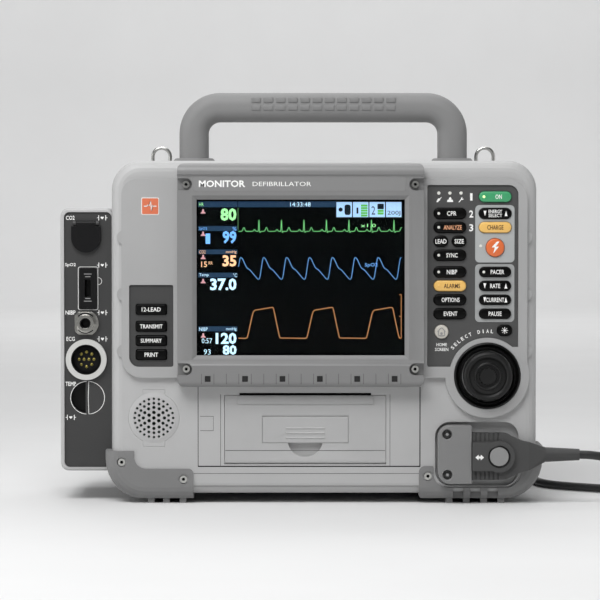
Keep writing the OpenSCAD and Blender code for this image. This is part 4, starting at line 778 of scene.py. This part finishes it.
def key_piece(name):
    """The cap of one key, its legend and its light, sized from the CAD key."""
    low, high = box_mm(name)
    x, z, front = (low[0] + high[0]) / 2, (low[2] + high[2]) / 2, low[1]
    w, h = high[0] - low[0] - 2 * KEY_LIP, high[2] - low[2] - 2 * KEY_LIP
    slot, skin = KEY_TOPS.get(name, ("key_black", key_black))
    side = name in ("key_twelve_lead", "key_transmit", "key_summary", "key_print")
    corner = 2.4 if side else h / 2
    dome = 0.0 if side else 0.3
    lip = slab(x, z, w + 2 * KEY_LIP, h + 2 * KEY_LIP, corner + KEY_LIP,
               edge(high[1] - 0.75, high[1] - 0.05, 0.1, 2))
    cap = slab(x, z, w, h, corner, edge(front, high[1] - 0.5, 1.0, 5, dome, h / 2 - 1.15))
    cap_made = piece(name + "_cap", [cap, lip], skin, name, 60)
    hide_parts(name)
    word, shift, share, extra = WORDS[name]
    face = front - dome - LEGEND_PROUD
    ink = INKS.get(name, legend_white)
    marks = []
    lines = word.split("|")
    tall = 0.42 * h if len(lines) == 1 else 0.32 * h
    for i, line in enumerate(lines if word else []):
        line_z = z + (len(lines) - 1 - 2 * i) * 0.19 * h
        marks.append(letters(line, x + shift * w, line_z, share * w, tall, face, 0.3, bold=0.12))
    if extra == "arrows":
        marks += [arrow(x - 0.32 * w, z, 0.045 * w, 0.25 * h, False, face),
                  arrow(x + 0.33 * w, z, 0.045 * w, 0.25 * h, True, face)]
    if extra == "bolt":
        bolt = [(x + 1.1 * w / 2 * a, z + w / 2 * 1.05 * b) for a, b in BOLT]
        marks.append(polygon_plate(bolt, face, face + 0.4))
    if extra == "house":
        ink = legend_grey
        roof = [(-0.55, 0.0), (0.0, 0.55), (0.55, 0.0)]
        wall = [(-0.4, 0.05), (-0.4, -0.5), (0.4, -0.5), (0.4, 0.05)]
        for line in (roof, wall):
            bend_line = through_points([(x + a * w / 2, 0, z + b * w / 2) for a, b in line], 6)
            marks.append(strip(bend_line[:, 0], bend_line[:, 2], 0.7, face, face + 0.3))
        marks.append(disc(x, z - 0.12 * w, 1.1, face, face + 0.3, 0, 0.1))
    if extra == "star":
        spokes = np.radians(np.arange(4) * 45)
        marks += [strip(x + np.array([-1, 1]) * 2.8 * math.cos(a), z + np.array([-1, 1]) * 2.8 * math.sin(a),
                        0.4, face - 0.01 * i, face + 0.3) for i, a in enumerate(spokes)]
    piece(name + "_legend", marks, ink, name)
    if extra == "led":
        lamp = {"key_on": light_green, "key_alarms": key_yellow}.get(name, light_clear)
        piece(name + "_light", [disc(x - 0.35 * w, z, 1.15, face, face + 0.5, 0.25)], lamp, name)
    return cap_made


key_names = [n for n in nodes if n.startswith("key_")]
caps = [key_piece(n) for n in key_names]
print("keys", len(caps))

# %% [markdown]
# The panel round the keys is one printed film. It carries three step numbers,
# three status lights with small symbols, a light beside the discharge key and
# the words that follow the rim of the dial. Ink on film stands off the surface
# by less than a hair, so these are plates a tenth of a millimetre thick.

# %% Printing on the control panel
PANEL_Y = -103.0
PAD_Y = -103.3
ink_front = PANEL_Y - 0.12
dial_x, dial_z = 153.75, 105.9


def panel_x(column):
    """Across the front, in steps of 0.824 mm from the middle."""
    return (column - 300) * 0.8242 - 0.8


def panel_z(row):
    """Up the front, in the same steps from the level of the ground."""
    return 168.9 - (row - 300) * 0.8242


def icon(points, column, row, size):
    return polygon_plate([(panel_x(column) + a * size, panel_z(row) + b * size) for a, b in points],
                         ink_front, PANEL_Y)


PLUG_ICON = [(-0.9, -0.9), (-0.4, -1.0), (0.1, -0.5), (0.4, -0.3), (0.5, 0.2), (1.0, 0.7), (0.8, 0.9),
             (0.3, 0.4), (-0.2, 0.4), (-0.5, 0.0), (-0.7, -0.4)]
TRAY_ICON = [(-1.1, -0.9), (1.1, -0.9), (0.95, -0.1), (0.45, 0.0), (0.5, 0.5), (0.1, 0.9), (-0.45, 0.55),
             (-0.4, 0.05), (-0.95, -0.1)]
TOOL_ICON = [(-0.95, -1.0), (-0.55, -1.0), (0.1, -0.1), (0.6, -0.15), (1.0, 0.3), (0.55, 0.2), (0.35, 0.45),
             (0.5, 0.95), (0.05, 0.65), (-0.1, 0.15)]
printing = [letters(n, panel_x(471.2), panel_z(r), wide, 6.0, ink_front, 0.1, bold=0.25)
            for n, r, wide in (("1", 197.4, 2.0), ("2", 214.4, 3.4), ("3", 228.2, 3.4))]
printing += [icon(shape, c, 200.0, 2.3) for shape, c in
             ((PLUG_ICON, 438.8), (TRAY_ICON, 450.0), (TOOL_ICON, 461.0))]
printing += [letters(word, panel_x(441.8), panel_z(r), wide, 2.6, ink_front, 0.1, bold=0.15)
             for word, r, wide in (("HOME", 345.2, 8.6), ("SCREEN", 350.0, 11.0))]
word = "SELECT DIAL"
arc_r, WORD_FROM, WORD_TO = 36.9, 141.0, 84.0
for i, letter in enumerate(word):
    spot = WORD_FROM - i * (WORD_FROM - WORD_TO) / (len(word) - 1)
    if letter != " ":
        printing.append(letters(letter, dial_x + arc_r * math.cos(math.radians(spot)),
                                dial_z + arc_r * math.sin(math.radians(spot)),
                                0.7 if letter == "I" else 2.1, 3.0, ink_front, 0.1, spot - 90, 0.2))
piece("panel_printing", printing, legend_white)
piece("panel_lights", [disc(panel_x(c), panel_z(193.6), 1.35, PANEL_Y - 0.35, PANEL_Y, 0.2)
                       for c in (438.7, 449.8, 460.9)]
      + [disc(panel_x(480.7), panel_z(246.5), 1.2, PAD_Y - 0.35, PAD_Y, 0.2)], light_clear)
pace_film = moulded("pace_pad_polyester_film", "#A2A4A4", 0.42, grain=0.9, relief=0.012, drift=0.03)
piece("pace_pad_film", [tile(143.55, 175.95, 150.33, 198.07, PAD_Y - 0.08, PAD_Y + 0.1, 3.5, 0.05)],
      pace_film)
print("printed marks", len(printing))

# %% [markdown]
# The dial sits in a round dish of its own, black from rim to floor. The real
# dish is turned or moulded in steps, and the steps catch thin circles of light
# that make the dial look deep. It is a closed section carried round the axis of
# the dial, and it leaves half a millimetre free round the knob, which turns and
# is pressed. The same function makes every round trim piece that follows.

# %% Dish round the dial
def turned_ring(x, z, section, count=72):
    """A closed section of (radius, y) pairs carried round an axis that runs front
    to back: x + r cos t, y, z + r sin t. The front goes from the rim inwards."""
    around = np.linspace(0, 2 * np.pi, count, endpoint=False)
    r, y = np.array(section, float).T
    verts = np.stack([x + r[:, None] * np.cos(around), np.repeat(y[:, None], count, 1),
                      z + r[:, None] * np.sin(around)], -1).reshape(-1, 3)
    i, k = np.arange(count), np.arange(len(r))[:, None]
    here, after = k * count, (k + 1) % len(r) * count
    nxt = (i + 1) % count
    faces = np.stack([here + i, here + nxt, after + nxt, after + i], -1).reshape(-1, 4)
    return verts, faces.tolist()


DISH = [(27.3, -100.3), (27.3, -105.0), (26.9, -105.6), (26.1, -105.7), (25.4, -105.0), (24.9, -103.4),
        (24.3, -103.0), (23.9, -104.6), (23.3, -105.4), (22.6, -105.2), (22.0, -103.6), (20.8, -101.6),
        (20.8, -100.3)]
dish_black = moulded("dial_dish_abs_black", "#0B0B0B", 0.36, grain=1.0, relief=0.02, shine=0.3)
piece("dial_dish", [turned_ring(dial_x, dial_z, DISH, 120)], dish_black, smooth=50)
print("dish steps", len(DISH))

# %% [markdown]
# The carrying handle is a steel strap under a thick soft grip, so it reads as
# one fat bent tube with a rounded rectangular section. The section is carried
# along a line of two legs, two bends and a long top. At each point the section
# lies square to the line, so its own left stays level and the tube keeps its
# thickness round the bend. The grip pads are rows of low, soft-edged blocks.

# %% Handle
CASE_TOP = 283.4
HANDLE_Y, HANDLE_SPAN, HANDLE_THICK, HANDLE_DEEP, HANDLE_BEND = 3.5, 222.4, 25.0, 31.0, 22.5
handle_mid = 19.15
handle_top_z = box_mm("handle")[1][2] - HANDLE_THICK / 2


def handle_line():
    """Up the left leg, round a quarter circle, across, and down the right leg:
    the point and the direction at each step."""
    half = HANDLE_SPAN / 2
    bend = np.radians(np.linspace(180, 90, 15))
    left_x = handle_mid - half + HANDLE_BEND
    lx, lz = left_x + HANDLE_BEND * np.cos(bend), handle_top_z - HANDLE_BEND + HANDLE_BEND * np.sin(bend)
    legs = np.linspace(CASE_TOP + 1, lz[0], 5)[:-1]
    across = np.linspace(lx[-1], 2 * handle_mid - lx[-1], 30)[1:-1]
    xs = np.concatenate([np.full(4, lx[0]), lx, across, 2 * handle_mid - lx[::-1],
                         np.full(4, 2 * handle_mid - lx[0])])
    zs = np.concatenate([legs, lz, np.full(28, lz[-1]), lz[::-1], legs[::-1]])
    return np.column_stack([xs, zs])


line = handle_line()
way = np.gradient(line, axis=0)
way /= np.linalg.norm(way, axis=1)[:, None]
across_line = np.column_stack([-way[:, 1], way[:, 0]])
sec_u, sec_v = rounded(HANDLE_THICK, HANDLE_DEEP, 10.5, 0.0, 8)
grip_rings = np.stack([line[:, None, 0] + across_line[:, None, 0] * sec_u[None, :],
                       np.broadcast_to(HANDLE_Y + sec_v[None, :], (len(line), len(sec_u))),
                       line[:, None, 1] + across_line[:, None, 1] * sec_u[None, :]], -1)
FLANGE_R, FLANGE_TOP_R, FLANGE_T = 18.8, 15.8, 4.0


def flange(x):
    """A low round foot: circles whose radius shrinks with height."""
    turn = np.radians(np.linspace(0, 360, 48, endpoint=False))
    steps = [(FLANGE_R, 0.0), (FLANGE_R, 0.6), (FLANGE_R - 0.5, 1.2), (FLANGE_TOP_R + 0.6, FLANGE_T - 0.3),
             (FLANGE_TOP_R - 0.4, FLANGE_T)]
    rings = np.array([np.column_stack([x + r * np.cos(turn), HANDLE_Y + r * np.sin(turn),
                                       np.full(48, CASE_TOP + z)]) for r, z in steps])
    return loft(rings)


GRIP_COLUMNS, GRIP_PITCH = 12, 10.5
pad_front = HANDLE_Y - HANDLE_DEEP / 2 - 0.6
grip_pads = [slab(handle_mid + (i - (GRIP_COLUMNS - 1) / 2) * GRIP_PITCH, handle_top_z + dz, 8.4, 4.8, 1.0,
                  edge(pad_front, pad_front + 3.0, 0.6, 3), 4)
             for i in range(GRIP_COLUMNS) for dz in (6.2, -0.4)]
handle = piece("handle_grip", [loft(grip_rings), flange(handle_mid - HANDLE_SPAN / 2),
                               flange(handle_mid + HANDLE_SPAN / 2), *grip_pads],
               handle_rubber)
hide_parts("handle")
print("handle", len(line), "stations")

# %% [markdown]
# The display frame carries a name strip along its top, and a ribbed lip below.
# The strip is a label of dark film with light type. The ribs are short fine
# grooves cut into the lip, drawn as grey lines that are painted shade for the
# grooves, and six black stops sit between them. All are plates that stand a
# tenth of a millimetre off the frame or lie just in it.

# %% Display frame trim
FRAME_Y = -113.3
strip_film = moulded("name_strip_polyester_film", "#868686", 0.38, grain=0.8, relief=0.01, drift=0.04)
stop_rubber = moulded("lip_stop_rubber", "#0C0C0C", 0.6, grain=0.8, relief=0.02)
strip_l, strip_r = panel_x(194), panel_x(405)
strip_b, strip_t = panel_z(191.6), panel_z(177.2)
piece("name_strip", [slab((strip_l + strip_r) / 2, (strip_b + strip_t) / 2, strip_r - strip_l,
                          strip_t - strip_b, 1.2, edge(FRAME_Y - 0.15, FRAME_Y + 0.3, 0.1, 2))],
      strip_film)
piece("name_strip_type",
      [letters("MONITOR", panel_x(222.5), panel_z(184.4), 38.0, 5.6, FRAME_Y - 0.27, 0.12, bold=0.25),
       letters("DEFIBRILLATOR", panel_x(282.0), panel_z(184.6), 48.0, 3.6, FRAME_Y - 0.27, 0.12)],
      legend_white)
LIP_Z, LIP_Y, LIP_X = 104.0, -115.5, 0.15
stop_places = LIP_X + (np.arange(6) - 2.5) * 30.7
line_places = LIP_X + (np.arange(19) - 9) * 10.23
stops = [tile(x - 2.3, x + 2.3, 101.7, 106.4, LIP_Y + 0.3, LIP_Y + 2.9, 0.3, 0.1) for x in stop_places]
piece("lip_stops", stops, stop_rubber)
# The lip's grooves drawn as grey lines: painted shade.
lip_lines = [tile(x - 0.18, x + 0.18, LIP_Z - 4.3, LIP_Z + 4.3, LIP_Y - 0.05, LIP_Y + 0.2, 0.1, 0.03)
             for x in line_places if abs(x) < 86 and min(abs(x - stop_places)) > 3]
# A mid grey that stands for the shade inside grooves and creases: painted shade.
groove_shade_grey = moulded("groove_painted_shade_grey", "#4E4E4E", 0.6, grain=0.8, relief=0.02)
piece("lip_lines", lip_lines, groove_shade_grey)
print("name strip", round(strip_r - strip_l, 1), "mm long")

# %% [markdown]
# Cut lines are what tell one moulding from the next. The printer's fascia is
# let into the case with a gap below and beside it, its door has a crease
# near the hinge, and a pale tear bar lies under the paper slot. The gaps, the
# creases and the slot are drawn as painted shade: thin black or grey strips
# just proud of the face, and a black plate just behind it for the slot.

# %% Printer and case lines
CASE_Y = -100.5
# Near black that stands for the shadow in the gaps, the paper slot and the screw recesses: painted shade.
gap_shade_black = moulded("gap_painted_shade_black", "#080808", 0.8, grain=0.8, relief=0.02, shine=0.1)


def cut(x0, x1, z0, z1, y=CASE_Y, proud=0.06):
    """A thin dark line lying on the face, painted shade for the gaps and creases."""
    return tile(x0, x1, z0, z1, y - proud, y + 0.1, 0.05, 0.02)


FASCIA = (-84.95, 98.35, 30.9, 96.8)
# The fascia's gaps as black strips: painted shade.
piece("printer_gaps", [cut(FASCIA[0], FASCIA[1], 30.3, 31.2), cut(98.0, 98.8, 30.5, 96.6),
                       cut(-85.3, -84.8, 30.5, 96.6)], gap_shade_black)
# The creases as grey lines: painted shade.
piece("printer_creases", [cut(-66.7, -66.3, 31.2, 90.4, proud=0.04), cut(73.4, 73.8, 31.2, 90.4, proud=0.04),
                          cut(-83.4, -72.4, 60.1, 60.5), cut(-83.4, -72.4, 72.0, 72.4),
                          cut(-72.6, -72.3, 60.1, 72.4)],
      groove_shade_grey)
# The door's crease as a grey line: painted shade.
piece("door_creases", [cut(-62.6, 69.6, 43.6, 44.1)], groove_shade_grey, "printer_door")
piece("tear_bar", [slab(3.55, 85.6, 112.6, 6.6, 0.4, edge(CASE_Y - 1.05, CASE_Y - 0.7, 0.25, 3))], bezel_abs,
      "printer_door")
# The paper slot as a black plate just behind the face: painted shade.
piece("paper_slot", [tile(-50.8, 57.9, 89.6, 91.4, CASE_Y + 0.5, CASE_Y + 2.0, 0.2, 0.05)], gap_shade_black)
# The base grooves as grey lines: painted shade.
piece("base_grooves", [cut(-88.8, 100.2, 24.6, 25.0), cut(-88.8, 100.2, 14.2, 14.6)], groove_shade_grey)
print("printer lines", 8)

# %% [markdown]
# A screw head without its socket is only a button. Each head here has a six
# lobed recess, drawn as a dark star whose radius swings between two values six
# times round; the dark star is painted shade for the hollow. The connector's two
# screws are blackened, so they get dark caps, and a lighter star in each cap is
# painted highlight in its recess.

# %% Screw recesses
def lobes(x, z, radius, front):
    """A six-lobed plate: radius times (1 + 0.18 cos 6t)."""
    t = np.linspace(0, 2 * np.pi, 48, endpoint=False)
    r = radius * (1 + 0.18 * np.cos(6 * t))
    return polygon_plate(np.column_stack([x + r * np.cos(t), z + r * np.sin(t)]), front, front + 0.08)


FRAME_SCREWS = [(-94.35, 263.7), (-94.35, 111.9), (93.85, 263.7), (93.85, 111.9)]
FOOT_SCREWS = [(-148.25, 34.3), (-97.15, 20.2), (104.95, 22.7)]
PLUG_SCREWS = [(120.25, 58.2), (120.55, 24.8)]
# Dark stars on the screw heads: painted shade for the recesses.
piece("screw_recesses", [lobes(x, z, 1.2, -110.95) for x, z in FRAME_SCREWS]
      + [lobes(x, z, 1.25, -102.25) for x, z in FOOT_SCREWS], gap_shade_black)
screw_black = moulded("screw_blackened_steel", "#141414", 0.35, grain=0.8, relief=0.02)
piece("plug_screw_caps", [disc(x, z, 3.1, -112.35, -111.6, 0.3, 0.3) for x, z in PLUG_SCREWS], screw_black)
# A lighter six-lobed star in each black cap is painted highlight in the recess.
piece("plug_screw_recess_highlights", [lobes(x, z, 1.2, -112.75) for x, z in PLUG_SCREWS], release_abs)
print("recesses", 9)

# %% [markdown]
# The therapy plug is held by its middle, so it is marked there: a pair of
# arrows for the way it slides, and a black ring round the release button. The
# ring rides on the plug, and the button moves through it.

# %% Plug markings
PLUG_Y = -114.5
release_x, release_z = 163.0, 39.95
ring_section = [(9.3, PLUG_Y + 0.2), (9.3, PLUG_Y - 0.2), (8.9, PLUG_Y - 0.5), (8.4, PLUG_Y - 0.5),
                (8.1, PLUG_Y - 0.2), (8.1, PLUG_Y + 0.2)]
piece("release_ring", [turned_ring(release_x, release_z, ring_section)], dish_black, "therapy_plug")
arrow_x, arrow_z = panel_x(479.2), panel_z(457.2)
heads = [[(arrow_x - 3.6, arrow_z), (arrow_x - 0.9, arrow_z - 2.3), (arrow_x - 0.9, arrow_z + 2.3)],
         [(arrow_x + 3.6, arrow_z), (arrow_x + 0.9, arrow_z + 2.3), (arrow_x + 0.9, arrow_z - 2.3)]]
piece("plug_arrows", [polygon_plate(h, PLUG_Y - 0.14, PLUG_Y + 0.05) for h in heads]
      + [tile(arrow_x - 1.2, arrow_x + 1.2, arrow_z - 0.9, arrow_z + 0.9, PLUG_Y - 0.13, PLUG_Y + 0.05,
              0.1, 0.03)],
      legend_white, "therapy_plug")
print("plug marks", 3)

# %% [markdown]
# The status badge is the only strong colour on the left. It is a printed label
# with a white border, and a plain pulse line on it says what the unit is for.
# The port module has its own small printing: a short word at the left of each
# socket, the sign of a protected patient part at its right, and thin outlines.
# The light outline round the oximeter housing and its round bump is painted
# highlight along the housing's edge, drawn in the same white as the print.

# %% Badge and port labels
BEZEL_Y = -104.5
label_orange = moulded("badge_vinyl_orange", "#D87452", 0.42, grain=0.9, relief=0.01, drift=0.05)
label_white = moulded("badge_vinyl_white", "#E4E2DF", 0.45, grain=0.9, relief=0.01, drift=0.03)
badge_x, badge_z, badge_w = panel_x(149.4) + 0.8, panel_z(206.7), 14.8
piece("badge_border", [slab(badge_x, badge_z, badge_w, badge_w - 0.4, 1.4,
                            edge(BEZEL_Y - 0.2, BEZEL_Y + 0.2, 0.1, 2))], label_white)
piece("badge_field", [slab(badge_x, badge_z, badge_w - 1.4, badge_w - 1.8, 0.9,
                           edge(BEZEL_Y - 0.32, BEZEL_Y - 0.1, 0.05, 2))], label_orange)
pulse_x = np.array([-5.2, -2.6, -1.9, -1.0, 0.2, 1.2, 2.0, 2.8, 5.2])
pulse_z = np.array([0.0, 0.0, 1.2, 0.0, 4.2, -3.6, 1.0, 0.0, 0.0])
piece("badge_pulse", [strip(badge_x + pulse_x, badge_z + pulse_z, 0.9, BEZEL_Y - 0.42, BEZEL_Y - 0.3)],
      label_white)
PORT_Y = -77.3
port_x = -179.05
LABEL_X, SIGN_X = port_x - 13.2, port_x + 13.4
port_words = [("CO2", 236.2, 7.2), ("SpO2", 196.8, 9.0), ("NIBP", 157.2, 8.4), ("ECG", 135.2, 7.0),
              ("TEMP", 97.6, 8.8)]
signs = [(SIGN_X, 236.2), (SIGN_X, 196.8), (SIGN_X, 157.2), (SIGN_X, 135.2), (LABEL_X, 69.6)]


def closed_line(xs, zs, width):
    """A line of constant width that ends where it starts."""
    return strip(np.append(xs, xs[:2]), np.append(zs, zs[:2]), width, PORT_Y - 0.12, PORT_Y + 0.05)


def patient_sign(x, z):
    """The sign of a protected patient part: a heart between two paddles. The heart
    is x = 16 sin^3 t, z = 13 cos t - 5 cos 2t - 2 cos 3t - cos 4t, made small."""
    t = np.linspace(0, 2 * np.pi, 24, endpoint=False)
    high = 13 * np.cos(t) - 5 * np.cos(2 * t) - 2 * np.cos(3 * t) - np.cos(4 * t)
    heart = np.column_stack([x + 0.085 * 16 * np.sin(t) ** 3, z + 0.085 * high])
    paddles = [tile(x + a - 0.3, x + a + 0.3, z - 2.2, z + 2.2, PORT_Y - 0.12, PORT_Y + 0.05, 0.2, 0.03)
               for a in (-2.9, 2.9)]
    arms = [tile(x + a - 0.7, x + a + 0.7, z - 0.25, z + 0.25, PORT_Y - 0.11, PORT_Y + 0.05, 0.1, 0.03)
            for a in (-3.7, 3.7)]
    return [polygon_plate(heart[::-1], PORT_Y - 0.12, PORT_Y + 0.05), *paddles, *arms]


half_turn = np.radians(np.linspace(-88, 88, 30))
bay_x, bay_z, bay_r = port_x + 0.6, 86.0, 13.6
OXIMETER_X = port_x + 1.5
spo2_w, spo2_h = rounded(16.4, 35.8, 1.6, 0.0, 5)
port_marks = [letters(w, LABEL_X, z, wide, 3.5, PORT_Y - 0.12, 0.12, bold=0.15) for w, z, wide in port_words]
port_marks += [part for x, z in signs for part in patient_sign(x, z)]
# The outline round the oximeter housing and the half circle of its round bump are painted highlight along the
# housing's edge.
port_marks += [closed_line(OXIMETER_X + spo2_w, 177.4 + spo2_h, 0.45),
               strip(OXIMETER_X + 8.4 + 3.0 * np.cos(half_turn), 183.4 + 3.0 * np.sin(half_turn), 0.4,
                     PORT_Y - 0.12, PORT_Y + 0.05),
               closed_line(np.append(bay_x + 0.8 + bay_r * np.cos(half_turn), bay_x + 0.8),
                           np.append(bay_z + bay_r * np.sin(half_turn), bay_z), 0.45),
               strip(bay_x - 0.3 - bay_r * np.cos(half_turn), bay_z + bay_r * np.sin(half_turn), 0.45,
                     PORT_Y - 0.12, PORT_Y + 0.05)]
piece("port_printing_and_highlight", port_marks, legend_white)
print("port labels", len(port_words))

# %% [markdown]
# A socket is dark inside because it is deep and its liner is black. The heart
# socket has a black liner and insert round ten gilt pins, and the hose fitting
# has a black bore with two slots beside it for the fingers of the hose clip.

# %% Socket liners
HEART_Z, HOSE_Z, HOSE_X = 118.0, 148.4, port_x - 0.5
heart_section = [(12.55, -70.0), (12.55, -80.9), (12.2, -81.4), (11.9, -80.9), (11.9, -70.0)]
hose_section = [(4.45, -76.0), (4.45, -83.2), (4.2, -83.35), (3.9, -83.2), (3.9, -76.0)]
liner = [turned_ring(port_x, HEART_Z, heart_section), disc(port_x, HEART_Z, 12.4, -75.0, -72.0),
         turned_ring(HOSE_X, HOSE_Z, hose_section), disc(HOSE_X, HOSE_Z, 4.4, -77.5, -76.0)]
for middle in (90, 270):
    sweep_angle = np.radians(np.linspace(middle - 48, middle + 48, 16))
    liner.append(strip(HOSE_X + 8.3 * np.cos(sweep_angle), HOSE_Z + 8.3 * np.sin(sweep_angle), 0.9,
                       -80.42, -80.2))
t = np.radians(np.linspace(91, 269, 30))
half_disc = np.column_stack([port_x - 0.9 + 12.6 * np.cos(t), 86 + 12.6 * np.sin(t)])
liner.append(polygon_plate(half_disc, -68.6, -67.9))
piece("socket_liners", liner, socket_pbt)
oximeter_front = box_mm("spo2_port")[0][1]
piece("oximeter_marks", [tile(OXIMETER_X - w, OXIMETER_X + w, z - 0.35, z + 0.35, oximeter_front - 0.1,
                              oximeter_front + 0.1, 0.1, 0.03)
                         for z, w in ((189.4, 3.2), (187.2, 2.2), (169.0, 2.2), (166.8, 3.2))], legend_grey)
pin_gold = lined_metal("heart_pin_gold_plated", "#8C8246", 0.35, along="Y")
spots = [(6.2 * math.cos(a), 6.2 * math.sin(a)) for a in np.radians(np.arange(8) * 45)]
spots += [(-2.0, 0), (2.0, 0)]
piece("heart_pins", [disc(port_x + a, HEART_Z + b, 1.25, -76.6, -74.0, 0.3, 0.3) for a, b in spots], pin_gold)
print("pins", len(spots))

# %% [markdown]
# What is left keeps its CAD shape and only needs the right skin. The record
# says which part is what, so a short table gives each one its material. The
# paper roll is thermal paper, which is smooth on its face but shows its layers
# at the ends. The boards inside are coated green glass fibre.

# %% Skins for the remaining parts
def wound_paper(name):
    """Thermal paper: rings about the roll's own axis, 0.8 mm apart, drawn about
    ten times coarser than the sheet so that they can be seen."""
    material, tree, output = new_material(name)
    low, high = box_mm("paper_roll")
    centre = (low + high) / 2 * MM
    place = add_node(tree, "ShaderNodeTexCoord").outputs["Object"]
    moved = add_node(tree, "ShaderNodeMapping", {"Location": (-centre[0], -centre[1], -centre[2]),
                                                 "Scale": (0.0, 1.0, 1.0)}, {"Vector": place})
    layers = add_node(tree, "ShaderNodeTexWave", {"wave_type": "RINGS", "rings_direction": "SPHERICAL",
                                                  "Scale": 1 / (0.8 * MM) / 20, "Distortion": 0.6},
                      {"Vector": moved.outputs[0]})
    tone = add_node(tree, "ShaderNodeMix", {"data_type": "RGBA", 6: linear("#DAD6CE"), 7: linear("#F1EEE8")},
                    {0: layers.outputs["Fac"]}).outputs[2]
    bump = add_node(tree, "ShaderNodeBump", {"Strength": 0.3, "Distance": 0.05 * MM},
                    {"Height": layers.outputs["Fac"]}).outputs["Normal"]
    shader = add_node(tree, "ShaderNodeBsdfPrincipled", {"Roughness": 0.7},
                      {"Base Color": tone, "Normal": bump})
    tree.links.new(shader.outputs[0], output.inputs[0])
    return material


board_green = moulded("module_board_coated", "#2E4A38", 0.45, grain=2.5, relief=0.05, drift=0.15)
SKINS = {"front_case": case_abs, "rear_case": case_abs, "strap_rings": ring_steel, "bumpers": bumper_rubber,
         "case_screws": screw_steel, "speaker_grille": case_abs, "ecg_port": heart_pbt,
         "internal_modules": board_green, "rear_connectors": socket_pbt, "platen_roller": roller_rubber,
         "paper_roll": wound_paper("paper_thermal_wound"), "dial_spindle": spindle_steel,
         "dial_knob": knob_abs, "strain_relief": boot_rubber}
for name, skin in SKINS.items():
    nodes[name].data.materials.clear()
    nodes[name].data.materials.append(skin)
print("skinned", len(SKINS))
